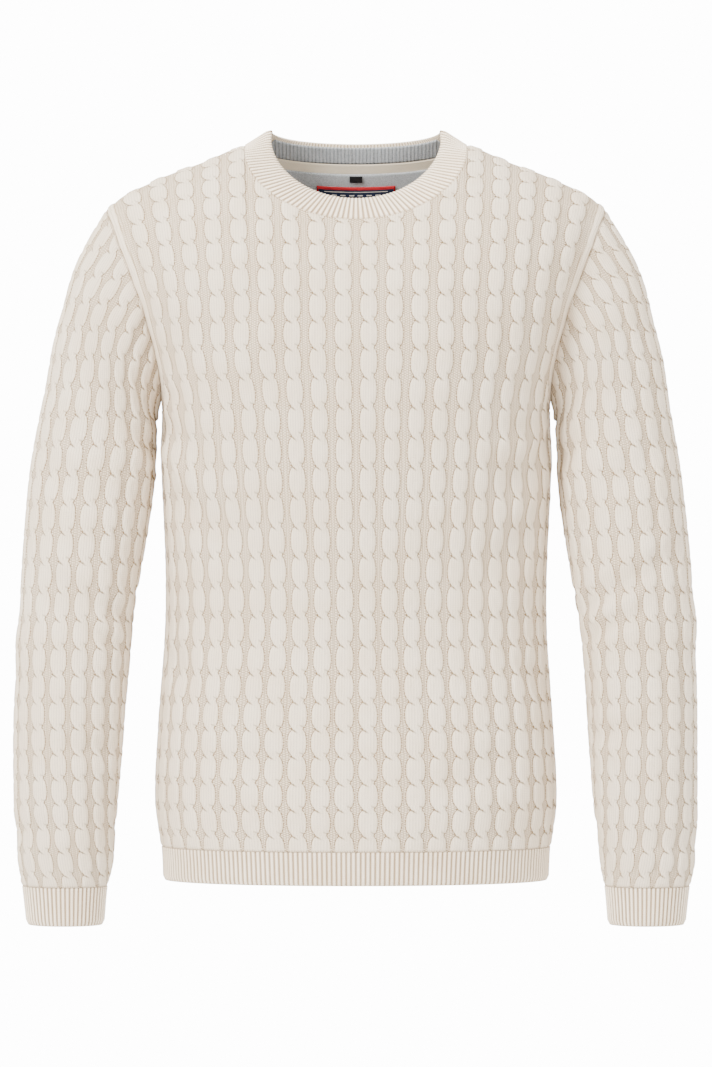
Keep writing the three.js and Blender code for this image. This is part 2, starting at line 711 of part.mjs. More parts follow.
const armholePath = remember((side, hand, lift, gap) => {
  const points = ARMHOLE_ATS.map((at) => {
    const seam = armholeSeam(side, hand, at);
    return seam.point.clone().addScaledVector(seam.normal, lift).addScaledVector(seam.across, gap);
  });
  return new SeamPath(points);
});

function sleeveSection(at) {
  const read = (column) => readTable(SLEEVE, "at", at, column);
  const outer = new THREE.Vector3(read("outerX"), read("y"), read("outerZ"));
  const inner = new THREE.Vector3(read("innerX"), read("y"), read("innerZ"));
  const middle = outer.clone().add(inner).divideScalar(2);
  return { middle, reach: outer.sub(inner).divideScalar(2), depth: read("halfDepth") };
}

// Half of a sleeve's section, from its outer line to its inner one, as points and lengths.
const HALF_STEPS = 48;
const sleeveHalf = remember((at) => {
  const section = sleeveSection(at);
  const turn = (step) => {
    const angle = (Math.PI * step) / HALF_STEPS;
    const point = section.middle.clone().addScaledVector(section.reach, Math.cos(angle));
    point.y -= section.depth * Math.sin(angle);
    return point;
  };
  const points = Array.from({ length: HALF_STEPS + 1 }, (_, step) => turn(step));
  const lengths = lengthsOf(points);
  return { turn, lengths, middleY: section.middle.y, whole: lengths[HALF_STEPS] };
});

// A point of a sleeve over its cables. q is 0 on the outer line and 1 or -1 on the inner one.
function sleevePoint(hand, q, at) {
  const turned = q - 2 * Math.round(q / 2);
  const side = turned >= 0 ? FRONT : BACK;
  const share = Math.abs(turned);
  const atSection = (place) => {
    const half = sleeveHalf(place);
    const point = half.turn(placeIn(half.lengths, share * half.whole));
    point.y = half.middleY - side * (point.y - half.middleY);
    point.x *= hand;
    return point;
  };
  const point = atSection(at);
  const fade = Math.max(0, 1 - at / CAP_FADE) ** 2;
  const seam = armholePath(side, hand, 0, 0).read(share);
  return point.addScaledVector(seam.sub(atSection(0)), fade);
}

function sleeveNormal(hand, q, at) {
  const step = 0.012;
  const ahead = sleevePoint(hand, q + step, at);
  const behind = sleevePoint(hand, q - step, at);
  const low = sleevePoint(hand, q, Math.min(CUFF_EDGE, at + 0.04));
  const high = sleevePoint(hand, q, Math.max(0, at - 0.04));
  return ahead.sub(behind).cross(low.sub(high)).multiplyScalar(hand).normalize();
}

function sleeveCloth(hand, q, at, lift) {
  return sleevePoint(hand, q, at).addScaledVector(sleeveNormal(hand, q, at), lift);
}

// Where a sleeve's column lies round a section. The columns under the arm narrow toward the cuff.
function columnPlace(column, at) {
  const pitch = mix(SLEEVE_PITCH.top, SLEEVE_PITCH.cuff, at / CUFF_SEAM) / sleeveHalf(at).whole;
  const extra = Math.max(0, Math.abs(column) - STEADY_COLUMNS) / (SLEEVE_COLUMNS - STEADY_COLUMNS);
  return Math.sign(column) * mix(Math.min(Math.abs(column), STEADY_COLUMNS) * pitch, 1, extra);
}

function columnWidth(column, at) {
  return (columnPlace(column + 0.5, at) - columnPlace(column - 0.5, at)) * sleeveHalf(at).whole;
}

// The length of a sleeve's column from the cuff seam up, against its sections.
const columnPath = remember((hand, column) => {
  const ats = Array.from({ length: PATH_STEPS + 1 }, (_, step) => CUFF_SEAM * (1 - step / PATH_STEPS));
  const lengths = lengthsOf(ats.map((at) => sleevePoint(hand, columnPlace(column, at), at)));
  const whole = lastOf(lengths);
  return { whole, at: (length) => CUFF_SEAM * (1 - placeIn(lengths, length) / PATH_STEPS) };
});

const SLEEVE_ROWS = [10];
while (lastOf(SLEEVE_ROWS) < 760) {
  const last = lastOf(SLEEVE_ROWS);
  SLEEVE_ROWS.push(last + mix(SLEEVE_ROW_PITCH.cuff, SLEEVE_ROW_PITCH.top, ease(last / 330)));
}

// The two ends of a sleeve's line, on the cuff seam and on the armhole.
function sleeveEnds(wall, hand, column, whole, lift) {
  const low = columnPlace(column, CUFF_SEAM);
  const high = columnPlace(column, 0);
  const start = sleeveCloth(hand, low, CUFF_SEAM, lift);
  start.z += HALF_GAP;
  const path = armholePath(high >= 0 ? FRONT : BACK, hand, lift, HALF_GAP);
  const spread = column / (2 * SLEEVE_COLUMNS);
  return [wall.add(start, 0, spread), wall.add(path.read(Math.abs(high)), whole, spread)];
}

// Whether a plain line of a sleeve has a point at a crossing.
function hasPlainPoint(path, index) {
  const every = SLEEVE_ROWS[index] > path.whole - CAP_LENGTH ? PLAIN_EVERY.cap : PLAIN_EVERY.arm;
  return index % every === 1;
}

function sleevePlainLine(wall, hand, column, lift, seamLift) {
  const path = columnPath(hand, column);
  const [start, end] = sleeveEnds(wall, hand, column, path.whole, seamLift);
  const isKept = (row, index) => row < path.whole - EDGE_MARGIN && hasPlainPoint(path, index);
  const points = SLEEVE_ROWS.filter(isKept).map((row) => {
    const at = path.at(row);
    return wall.add(sleeveCloth(hand, columnPlace(column, at), at, lift), row);
  });
  return [start, ...points, end];
}

// The two edges of one cable of a sleeve. A cable in a narrow column fades out into plain cloth.
function sleeveCableLines(wall, hand, column) {
  const path = columnPath(hand, column);
  const ends = [-CABLE_END, CABLE_END].map((shift) => {
    return sleeveEnds(wall, hand, column + shift, path.whole, SEAM_LIFT);
  });
  const lines = [[], []];
  const last = path.whole - EDGE_MARGIN;
  for (let row = 0; SLEEVE_ROWS[row] < last; row += 1) {
    const length = SLEEVE_ROWS[row];
    const pitch = SLEEVE_ROWS[row + 1] - length;
    const at = path.at(length);
    const share = (columnWidth(column, at) - FULL_CABLE.from) / (FULL_CABLE.to - FULL_CABLE.from);
    const lift = (ease(share) - 1) * CABLE_RISE;
    if (share > 0 || hasPlainPoint(path, row)) {
      const crossing = wall.add(sleeveCloth(hand, columnPlace(column, at), at, lift), length);
      lines.forEach((line) => line.push(crossing));
    }
    lines.forEach((line, index) => {
      const way = index * 2 - 1;
      const edge = length + pitch * (0.5 - way * CROSS_SHIFT);
      if (share > 0 && edge < last) {
        const edgeAt = path.at(edge);
        const q = columnPlace(column + way * CABLE_HALF, edgeAt);
        const edgeLift = lift + CABLE_LOW * ease(share);
        line.push(wall.add(sleeveCloth(hand, q, edgeAt, edgeLift), edge));
      }
    });
  }
  return lines.map((line, index) => [ends[index][0], ...line, ends[index][1]]);
}

function sleeve(name, hand) {
  const wall = new Wall();
  const outside = [];
  const inside = [];
  for (let step = 0; step < 2 * SLEEVE_COLUMNS; step += 1) {
    const column = step - SLEEVE_COLUMNS;
    outside.push(sleevePlainLine(wall, hand, column, -CABLE_RISE, SEAM_LIFT));
    outside.push(...sleeveCableLines(wall, hand, column + 0.5));
    inside.push(sleevePlainLine(wall, hand, column, INSIDE, INSIDE));
  }
  return tube(name, CREAM, outside, inside, wall);
}

// Ribs: an outside that steps between ridge and groove, and a plain inside. A ridge and its groove
// run together at the seam.
function ribbed(name, ribs, insideSteps, ends, seamEnd, pointAt) {
  const wall = new Wall();
  const outside = [];
  for (let rib = 0; rib < ribs; rib += 1) {
    const middle = (rib + 0.25) / ribs;
    const seam = wall.add(pointAt(middle, seamEnd, SEAM_LIFT), seamEnd, middle);
    const line = (share, lift) => ends.map((end) => {
      return end === seamEnd ? seam : wall.add(pointAt(share, end, lift), end, share);
    });
    outside.push(line(rib / ribs, RIB_TOP), line((rib + 0.5) / ribs, RIB_TOP - RIB_RISE));
  }
  const inside = Array.from({ length: insideSteps }, (_, step) => {
    const share = step / insideSteps;
    return ends.map((end) => wall.add(pointAt(share, end, INSIDE), end, share));
  });
  return tube(name, CREAM, outside, inside, wall);
}

function hemRib() {
  const pointAt = (share, z, lift) => {
    const side = share < 0.5 ? FRONT : BACK;
    const u = side === FRONT ? 4 * share - 1 : 3 - 4 * share;
    const point = bodyPoint(side, u, z).addScaledVector(torsoNormal(side, u, z), lift);
    return point;
  };
  const seam = HEM_SEAM - HALF_GAP;
  return ribbed("hem_rib", HEM_RIBS, HEM_INSIDE_STEPS, [HEM_BOTTOM, seam], seam, pointAt);
}

function cuff(name, hand) {
  const pointAt = (share, end, lift) => {
    const at = end === 0 ? CUFF_EDGE : CUFF_SEAM;
    const point = sleeveCloth(hand, 2 * share - 1, at, lift);
    point.z -= end * HALF_GAP;
    return point;
  };
  return ribbed(name, CUFF_RIBS, CUFF_INSIDE_STEPS, [0, 1], 1, pointAt);
}

// Neckband

const NECK_US = [...Array(2 * COLUMNS + 1).keys()]
  .map((step) => step - COLUMNS)
  .flatMap((column) => [column, column + 0.5 - CABLE_END, column + 0.5 + CABLE_END])
  .map((column) => column / COLUMNS)
  .filter((u) => Math.abs(u) < NECK_CORNER + 1e-6);

const LINING_US = NECK_US.filter((u, index) => index % 2 === 0 && Math.abs(u) < LINING_END);

// Half of the neck seam, along the front or the back, moved up by half of the gap.
const neckPath = remember((side, lift, up) => {
  const points = NECK_US.map((u) => {
    const seam = neckSeam(side, neckLean(u));
    return seam.point.clone().addScaledVector(seam.normal, lift).addScaledVector(seam.across, up);
  });
  return new SeamPath(points);
});

// A point of the neckband. share runs once round it from the back's corner, height from seam to edge.
function neckbandPoint(share, height, lift) {
  const side = share < 0.5 ? FRONT : BACK;
  const part = side === FRONT ? 2 * share : 2 - 2 * share;
  const low = neckPath(side, lift, NECK_PART).read(part);
  const base = neckPath(side, 0, NECK_PART).read(part);
  const top = neckTopPoint(side, Math.abs(2 * part - 1), Math.sign(part - 0.5));
  const ahead = neckTopPoint(side, Math.abs(2 * part - 0.98), Math.sign(part - 0.49));
  const behind = neckTopPoint(side, Math.abs(2 * part - 1.02), Math.sign(part - 0.51));
  const normal = ahead.sub(behind).cross(top.clone().sub(base)).multiplyScalar(-side).normalize();
  return low.lerp(top.addScaledVector(normal, lift), height);
}

function neckband() {
  return ribbed("neckband", NECK_RIBS, NECK_INSIDE_STEPS, [0, 1], 0, neckbandPoint);
}

// Thin pieces sewn inside the back of the neck

// A thin sheet from lines of points, each read at two depths of cloth.
function sheet(name, color, columns, rows, clear, thickness, pointAt) {
  const wall = new Wall();
  const lineAt = (column, lift) => rows.map((row) => wall.add(pointAt(column, row, lift), row, column));
  const linesAt = (lift) => columns.map((column) => lineAt(column, lift));
  const near = linesAt(INSIDE - clear);
  const far = linesAt(INSIDE - clear - thickness);
  for (let index = 1; index < columns.length; index += 1) {
    wall.strip(near[index - 1], near[index]);
    wall.strip(far[index], far[index - 1]);
  }
  const ends = (lines, at) => lines.map((line) => line.at(at));
  wall.strip(ends(near, 0), ends(far, 0), "u");
  wall.strip(lastOf(near), lastOf(far));
  wall.strip(ends(near, -1).reverse(), ends(far, -1).reverse(), "u");
  wall.strip([...near[0]].reverse(), [...far[0]].reverse());
  return wall.mesh(name, color);
}

function steps(from, to, count) {
  return Array.from({ length: count + 1 }, (_, step) => mix(from, to, step / count));
}

// The share round the neckband where its seam meets a line of the back.
function neckShare(u) {
  const path = neckPath(BACK, 0, NECK_PART);
  const index = NECK_US.indexOf(u);
  return 1 - (0.5 * path.lengths[index]) / path.whole;
}

// A point inside the back, this far below the neck seam, where the cloth turns in to the seam.
function backNeckPoint(u, drop, lift) {
  const seam = neckSeam(BACK, u);
  const cloth = torsoCloth(BACK, u, neckHeight(BACK, u) - Math.max(drop, NECK_TURN), lift);
  const edge = seam.point.clone().addScaledVector(seam.normal, lift);
  return edge.lerp(cloth, Math.min(1, drop / NECK_TURN));
}

function neckbandLining() {
  const pointAt = (u, height, lift) => neckbandPoint(neckShare(u), height, lift);
  return sheet("neckband_lining", GREY, LINING_US, [LINING.low, LINING.high], TRIM_CLEAR, TRIM, pointAt);
}

function neckTape() {
  const pointAt = (u, height, lift) => {
    if (height < 0) {
      return backNeckPoint(neckLean(u), TAPE.drop, lift);
    }
    if (height > 0) {
      return neckbandPoint(neckShare(u), height, lift);
    }
    const seam = neckSeam(BACK, neckLean(u));
    return seam.point.clone().addScaledVector(seam.normal, lift);
  };
  return sheet("neck_tape", CREAM, LINING_US, [-1, 0, TAPE.rise], TRIM_CLEAR, TRIM, pointAt);
}

// The facing is a half moon under the tape.
function backNeckFacing() {
  const pointAt = (share, row, lift) => {
    const depth = Math.max(FACING.least, FACING.depth * Math.sqrt(1 - share * share));
    return backNeckPoint(share * FACING.halfU, TAPE.drop + FACING.below + row * depth, lift);
  };
  const shares = [-1, -0.93, ...steps(-0.75, 0.75, 4), 0.93, 1];
  return sheet("back_neck_facing", GREY, shares, steps(1, 0, FACING.rows), FACING.clear, TRIM, pointAt);
}

function labelOn(name, color, size) {
  const rows = steps(size.drop + size.height, size.drop, size.rows);
  const columns = steps(-size.halfU, size.halfU, size.columns);
  return sheet(name, color, columns, rows, FACING.clear + TRIM + LABEL_CLEAR, size.thickness, backNeckPoint);
}

const sweater = new THREE.Group();
sweater.add(
  panel("front_panel", FRONT),
  panel("back_panel", BACK),
  sleeve("left_sleeve", 1),
  sleeve("right_sleeve", -1),
  cuff("left_cuff", 1),
  cuff("right_cuff", -1),
  hemRib(),
  neckband(),
  neckbandLining(),
  neckTape(),
  backNeckFacing(),
  labelOn("neck_label", NAVY, NECK_LABEL),
  labelOn("size_tab", BLACK, SIZE_TAB),
);

export default sweater;
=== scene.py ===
# %% [markdown]
# # A cable knit sweater, dressed for a photograph
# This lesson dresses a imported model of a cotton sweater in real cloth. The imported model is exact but
# plain: it fixes every size and place. Each cell below makes one piece or one finish over it.
# Lengths are written in millimetres and turned into metres when a mesh is made.

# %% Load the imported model
import math

import bpy
import numpy as np
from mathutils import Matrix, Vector


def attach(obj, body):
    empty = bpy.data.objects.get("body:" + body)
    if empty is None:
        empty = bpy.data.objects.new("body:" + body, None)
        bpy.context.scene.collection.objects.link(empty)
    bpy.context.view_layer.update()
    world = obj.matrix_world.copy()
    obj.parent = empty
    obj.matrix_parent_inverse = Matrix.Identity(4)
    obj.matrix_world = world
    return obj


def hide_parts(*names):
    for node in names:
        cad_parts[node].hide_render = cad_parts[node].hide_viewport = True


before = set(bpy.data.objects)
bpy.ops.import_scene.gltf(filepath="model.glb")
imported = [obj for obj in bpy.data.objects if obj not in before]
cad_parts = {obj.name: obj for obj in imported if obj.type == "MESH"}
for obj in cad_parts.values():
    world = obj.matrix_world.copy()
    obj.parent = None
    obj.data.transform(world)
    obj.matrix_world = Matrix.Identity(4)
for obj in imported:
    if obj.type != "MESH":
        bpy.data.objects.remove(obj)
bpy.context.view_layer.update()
FRONT, BACK = -1, 1
MM = 0.001

# %% [markdown]
# ## The sizes of the cloth
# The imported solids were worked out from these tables, so the finished cloth reads the same ones:
# level sections of the body, the line of the shoulders, and sections down a sleeve. Heights are
# measured over the tops of the cables, and "lift" is how far a point stands above those tops. Only
# the neckband's top edge is placed anew, about 2 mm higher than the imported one, as the photograph has it.

# %% Tables of sections
BODY = {
    "z": [-680, -649, -606, -537, -448, -389, -288, -234, -190, -150],
    "half_width": [180, 181.5, 187, 184, 177.5, 177, 181.5, 181, 190, 205],
    "front": [107, 110, 114, 110, 101, 103, 114, 120, 122, 118],
    "back": [111, 114, 117, 111, 102, 104, 110, 113, 114, 112],
    "power": [2.1, 2.1, 2.1, 2.15, 2.15, 2.2, 2.25, 2.35, 2.5, 2.6],
}
SHOULDER_LINE = {
    "x": [0, 60, 104, 117, 139, 173, 192.5, 218.6, 233],
    "z": [13, 10.5, 4, 0, -10, -22.5, -31, -44, -57],
}
SLEEVE = {
    "at": [0, 1, 2, 3, 4, 5, 6, 7, 8, 9, 10],
    "outer_x": [233, 264.5, 284, 299, 305, 312.3, 316.4, 315.4, 312.4, 308.4, 304.2],
    "outer_z": [-57, -118, -197, -278, -327, -420, -512, -604, -656, -683, -718.5],
    "inner_x": [182, 184.4, 185.4, 186.6, 190.2, 202.9, 212.7, 219, 223.6, 228, 231],
    "inner_z": [-236, -250, -266, -298, -334, -420, -512, -604, -656, -683, -718.5],
    "y": [0, -2, -4, -7, -10, -18, -27, -37, -43, -46, -49.5],
    "half_depth": [50, 57, 59, 59, 58, 54.5, 51, 46.5, 41.5, 37, 33.5],
}
COLUMNS, ARMHOLE_COLUMNS, SLEEVE_COLUMNS = 11, 9, 8
CHEST_PITCH, SHOULDER_PITCH = 23.3, 24.7
HEM_BOTTOM, HEM_SEAM, YOKE_FOOT, SHOULDER_Y = -680, -649, -150, 6
UNDERARM, SCOOP_TOP, SCOOP_START = -236, -190, 0.72
ARMHOLE_U = (ARMHOLE_COLUMNS + 0.43) / COLUMNS
NECK_COLUMNS = 4.21
NECK_HALF_WIDTH, NECK_CORNER = SHOULDER_PITCH * NECK_COLUMNS, NECK_COLUMNS / COLUMNS
NECK_DROP = {FRONT: 74, BACK: 18}
NECK_TOP = {"half_width": 80, "z": 19, "y": {FRONT: -69, BACK: 50}, "drop": {FRONT: 68, BACK: 10.3}}
NECK_TOP_Y = 3  # the corners of the neckband's top stand this far before the line of the shoulders
CABLE_RISE, WALL = 2.2, 2.6
PLAIN, INSIDE = -CABLE_RISE, -CABLE_RISE - WALL
print(len(BODY["z"]), "body sections and", len(SLEEVE["at"]), "sleeve sections")


# %% Small helpers
def mix(a, b, t):
    return a + (b - a) * t


def ease(t):
    held = np.clip(t, 0, 1)
    return held * held * (3 - 2 * held)


def unit(vectors):
    return vectors / np.maximum(np.linalg.norm(vectors, axis=-1, keepdims=True), 1e-9)


def read_table(table, key, at, column):
    """A smooth curve through one column of a table, read at values of its key column."""
    order = np.argsort(table[key])
    keys = np.asarray(table[key], float)[order]
    values = np.asarray(table[column], float)[order]
    held = np.clip(at, keys[0], keys[-1])
    high = np.clip(np.searchsorted(keys, held), 1, len(keys) - 1)
    low = high - 1
    first, last = np.maximum(high - 2, 0), np.minimum(high + 1, len(keys) - 1)
    start = (values[high] - values[first]) / (keys[high] - keys[first])
    end = (values[last] - values[low]) / (keys[last] - keys[low])
    span = keys[high] - keys[low]
    t = (held - keys[low]) / span
    bend = t * (1 - t) ** 2 * span * start + t * t * (t - 1) * span * end
    return mix(values[low], values[high], ease(t)) + bend


def lengths_of(points, axis=0):
    steps = np.linalg.norm(np.diff(points, axis=axis), axis=-1)
    start = np.zeros_like(np.take(steps, [0], axis=axis))
    return np.concatenate([start, np.cumsum(steps, axis=axis)], axis=axis)


def read_line(lengths, values, at):
    """Points or directions read along a line, whose samples lie at these lengths."""
    return np.stack([np.interp(at, lengths, values[:, k]) for k in range(3)], -1)


def ring_normals(point):
    """The way out of a surface made of closed rings."""
    around = np.roll(point, -1, 1) - np.roll(point, 1, 1)
    normal = unit(np.cross(around, np.gradient(point, axis=0)))
    return normal * np.sign((normal * (point - point.mean(1, keepdims=True))).sum(-1).mean())


# %% [markdown]
# ## The surface of the body
# A sweater's front and back are flat knitted panels that wrap round the wearer. Each one is worked
# out here as a surface with two directions: u runs from one side seam (-1) to the other (1), and s is
# the height, which above the chest becomes the length along the cloth as it curves over the shoulder.
# The surface is sampled once on a fine grid and then read between its samples, which is quick.

# %% Sample the body
FINE_U = np.linspace(-1, 1, 881)
LEVEL_STEP = 3.0
LEVELS = np.arange(-690, YOKE_FOOT + 0.1, LEVEL_STEP)
YOKE_STEPS = 120
YOKE_BEND, YOKE_BEND_WIDTH = {FRONT: 1.45, BACK: 2.1}, 0.6


def level_section(side, z):
    """Points of one level section at every fine u."""
    angle = np.linspace(0, np.pi / 2, 241)
    power = 2 / read_table(BODY, "z", z, "power")
    x = read_table(BODY, "z", z, "half_width") * np.sin(angle) ** power
    depth = read_table(BODY, "z", z, "front" if side == FRONT else "back")
    y = side * depth * np.cos(angle).clip(0) ** power
    lengths = lengths_of(np.stack([x, y], -1))
    widening = ease((z - UNDERARM) / (YOKE_FOOT - UNDERARM))
    reach = mix(lengths[-1], COLUMNS * CHEST_PITCH, widening) * np.abs(FINE_U)
    across = np.sign(FINE_U) * np.interp(reach, lengths, x)
    return np.stack([across, np.interp(reach, lengths, y), np.full_like(across, z)], -1)


def sample_yoke(side, foot):
    """The cloth above the chest: one curved line for each fine u, in even shares of its length."""
    top_x = SHOULDER_PITCH * COLUMNS * FINE_U
    top_z = read_table(SHOULDER_LINE, "x", np.abs(top_x), "z")
    power = 2 / mix(YOKE_BEND[side], 2, ease(np.abs(FINE_U) / YOKE_BEND_WIDTH))
    angle = np.linspace(0, np.pi / 2, 161)[:, None]
    rise, turn = np.sin(angle) ** power, np.cos(angle).clip(0) ** power
    line = np.stack(
        [mix(foot[:, 0], top_x, rise), mix(SHOULDER_Y, foot[:, 1], turn), mix(YOKE_FOOT, top_z, rise)], -1
    )
    lengths = lengths_of(line)
    shares = np.linspace(0, 1, YOKE_STEPS + 1)
    even = [read_line(lengths[:, i], line[:, i], shares * lengths[-1, i]) for i in range(len(FINE_U))]
    return np.stack(even, 1), YOKE_FOOT + lengths[-1]


TORSO = {}
for side in (FRONT, BACK):
    levels = np.array([level_section(side, z) for z in LEVELS])
    yoke, top = sample_yoke(side, levels[-1])
    TORSO[side] = {"levels": levels, "yoke": yoke, "top": top}
    print("side", side, "shoulder length", round(float(top.max()), 1), "mm")


# %% Read the body
def read_grid(grid, row, column):
    """Reads a grid of points between its rows and columns."""
    row, column = np.broadcast_arrays(row, column)
    i = np.clip(np.floor(row).astype(int), 0, grid.shape[0] - 2)
    j = np.clip(np.floor(column).astype(int), 0, grid.shape[1] - 2)
    a, b = (row - i)[..., None], (column - j)[..., None]
    low = mix(grid[i, j], grid[i, j + 1], b)
    return mix(low, mix(grid[i + 1, j], grid[i + 1, j + 1], b), a)


def line_top(side, u):
    return np.interp(u, FINE_U, TORSO[side]["top"])


def torso_point(side, u, s):
    """Points over the tops of the cables."""
    u, s = np.broadcast_arrays(np.asarray(u, float), np.asarray(s, float))
    column = (u + 1) / 2 * (len(FINE_U) - 1)
    below = read_grid(TORSO[side]["levels"], (s - LEVELS[0]) / LEVEL_STEP, column)
    share = (s - YOKE_FOOT) / (line_top(side, u) - YOKE_FOOT)
    above = read_grid(TORSO[side]["yoke"], np.clip(share, 0, 1) * YOKE_STEPS, column)
    return np.where((s <= YOKE_FOOT)[..., None], below, above)


U_STEP, S_STEP = 0.006, 2  # how far apart points are read to find a direction


def torso_normal(side, u, s):
    u, s = np.broadcast_arrays(np.asarray(u, float), np.asarray(s, float))
    top = line_top(side, u)
    ahead, behind = np.minimum(1, u + U_STEP), np.maximum(-1, u - U_STEP)
    along = torso_point(side, ahead, s) - torso_point(side, behind, s)
    high = np.minimum(top, s + S_STEP)
    normal = np.cross(along, torso_point(side, u, high) - torso_point(side, u, high - 2 * S_STEP))
    normal[..., 1] *= ~((np.abs(u) > 1 - 1e-6) | (s >= top - 1e-3))
    return unit(-side * normal)


# %% [markdown]
# ## The seams
# The neckline is a drop cut into both panels, and each armhole is a straight edge that ends in a
# scoop under the arm. At a seam two pieces of cloth meet at an angle, so the way out of the cloth
# there is shared by both: it is the average of the two pieces' own directions, as in a mitre.

# %% Neck seam
HALVINGS, NECK_U_STEP = 34, 0.004


def neck_height(side, u):
    """The length along each line of a panel where the neckline crosses it."""
    corner_z = read_table(SHOULDER_LINE, "x", NECK_HALF_WIDTH, "z")
    low, high = np.full(np.shape(u), float(YOKE_FOOT)), np.array(line_top(side, u), float)
    whole = high.copy()
    for _ in range(HALVINGS):
        middle = (low + high) / 2
        point = torso_point(side, u, middle)
        across = np.minimum(1, np.abs(point[..., 0]) / NECK_HALF_WIDTH)
        over = point[..., 2] > corner_z - NECK_DROP[side] * np.sqrt(1 - across**2)
        high, low = np.where(over, middle, high), np.where(over, low, middle)
    return np.where(np.abs(u) >= NECK_CORNER - 1e-9, whole, (low + high) / 2)


def neck_lean(u):
    """Lines lean to the neck's corner, so that the neckline's points lie closer there."""
    share = np.minimum(1, np.abs(u) / NECK_CORNER)
    return np.sign(u) * NECK_CORNER * mix(share, np.sin(np.pi / 2 * share), share**8)


NECK_US = neck_lean(np.linspace(-NECK_CORNER, NECK_CORNER, 241))


def neck_top_point(side, share, hand):
    angle = np.pi / 2 * share
    x = hand * NECK_TOP["half_width"] * np.sin(angle)
    y = mix(SHOULDER_Y - NECK_TOP_Y, NECK_TOP["y"][side], np.cos(angle))
    return np.stack([x, y, NECK_TOP["z"] - NECK_TOP["drop"][side] * np.cos(angle)], -1)


def neck_seam(side, u):
    """The neck seam at lines of a panel: points, outward normals and the way up into the band."""
    u = np.asarray(u, float)
    s = neck_height(side, u)
    point = torso_point(side, u, s)
    share = 2 / np.pi * np.arcsin(np.minimum(1, np.abs(point[..., 0]) / NECK_HALF_WIDTH))
    up = neck_top_point(side, share, np.sign(u)) - point
    ahead = np.minimum(NECK_CORNER, u + NECK_U_STEP)
    behind = np.maximum(-NECK_CORNER, u - NECK_U_STEP)
    along = torso_point(side, ahead, neck_height(side, ahead))
    along = along - torso_point(side, behind, neck_height(side, behind))
    corner = np.abs(u) >= NECK_CORNER - 1e-9
    along[corner] = 0
    along[corner, 1] = -side * np.sign(u[corner])
    along = unit(along)
    normal = unit(torso_normal(side, u, s) + unit(-side * np.cross(along, up)))
    across = unit(side * np.cross(normal, along))
    return point, normal, across * np.sign((across * up).sum(-1, keepdims=True))


# %% Armhole seam
def armhole_place(side, at):
    """A place on an armhole, from 0 at the shoulder to 1 under the arm."""
    angle = np.maximum(0, (at - SCOOP_START) / (1 - SCOOP_START)) * np.pi / 2
    straight = np.minimum(1, at / SCOOP_START)
    s = mix(line_top(side, ARMHOLE_U), SCOOP_TOP, straight)
    return mix(1, ARMHOLE_U, np.cos(angle)), s - (SCOOP_TOP - UNDERARM) * np.sin(angle)


def scoop_at(u):
    angle = np.arccos(np.clip((1 - np.abs(u)) / (1 - ARMHOLE_U), 0, 1))
    return mix(SCOOP_START, 1, angle / (np.pi / 2))


ARMHOLE_AT = np.concatenate([np.linspace(0, SCOOP_START, 90), scoop_at(np.linspace(ARMHOLE_U, 1, 60))[1:]])
AT_STEP = 0.01
CAP_OUT, CAP_UP = 0.5, 0.87  # the way out of the sleeve's cap at the shoulder, sideways and up


def armhole_seam(side, hand, at):
    at = np.asarray(at, float)

    def on_panel(place):
        u, s = armhole_place(side, place)
        return torso_point(side, hand * u, s)

    u, s = armhole_place(side, at)
    along = on_panel(np.minimum(1, at + AT_STEP)) - on_panel(np.maximum(0, at - AT_STEP))
    along[at <= 0] = (0, side, 0)
    along[at >= 1] = (0, -side, 0)
    along = unit(along)
    up = np.cos(np.pi * at)
    normal = np.stack([hand * CAP_OUT * up, side * np.sin(np.pi * at), CAP_UP * up], -1)
    normal = normal + 0.5 * torso_normal(side, hand * u, s)
    normal = unit(normal - (normal * along).sum(-1, keepdims=True) * along)
    return on_panel(at), normal


# %% [markdown]
# ## Soft creases
# Knitwear this thick folds little, but it never lies quite smooth: soft troughs run from under the
# arms across the chest, round the inside of the elbows and above the hem, where the rib draws the
# cloth in. Each crease below is placed one by one, uneven in length, depth and spacing, as a line on the
# piece with a width and a depth, and pushed into the cloth along its normals.

# %% Creases
# Each crease: where it starts and ends (across, height), its bow, width and depth, in mm on the piece.
BODY_CREASES = {
    FRONT: [
        (238, -262, 128, -318, 10, 17, -4.2), (236, -236, 146, -262, 8, 11, -2.6),
        (-240, -258, -140, -300, 9, 16, -4.0), (-236, -232, -158, -250, 6, 10, -2.2),
        (210, -330, 96, -402, 14, 20, -2.6), (-214, -322, -112, -384, 12, 19, -2.8),
        (-150, -566, -36, -584, 7, 15, -2.4), (60, -590, 168, -560, -8, 16, -2.6),
        (-40, -470, 62, -488, 6, 22, -1.8), (176, -478, 232, -520, 6, 14, -2.6),
        (-232, -470, -170, -508, 7, 15, -2.8), (-70, -130, -128, -226, 9, 18, 2.0),
        (66, -134, 120, -214, -9, 17, 2.2), (-24, -232, 30, -352, 12, 30, 1.5),
    ],
    BACK: [
        (238, -258, 134, -306, 9, 16, -3.8), (-240, -262, -126, -322, 11, 18, -4.2),
        (204, -340, 88, -420, 12, 20, -2.6), (-212, -350, -104, -412, 10, 18, -2.4),
        (-146, -560, -20, -590, 8, 16, -2.8), (44, -584, 160, -566, -7, 15, -2.4),
        (-60, -400, 70, -436, 10, 26, -3.2), (-90, -470, 30, -492, 7, 20, -2.4),
        (150, -498, 226, -530, 6, 15, -2.6), (-226, -482, -160, -520, 6, 14, -2.4),
        (-56, -120, -112, -216, 9, 20, 2.2), (60, -124, 112, -222, -9, 19, 2.0),
    ],
}
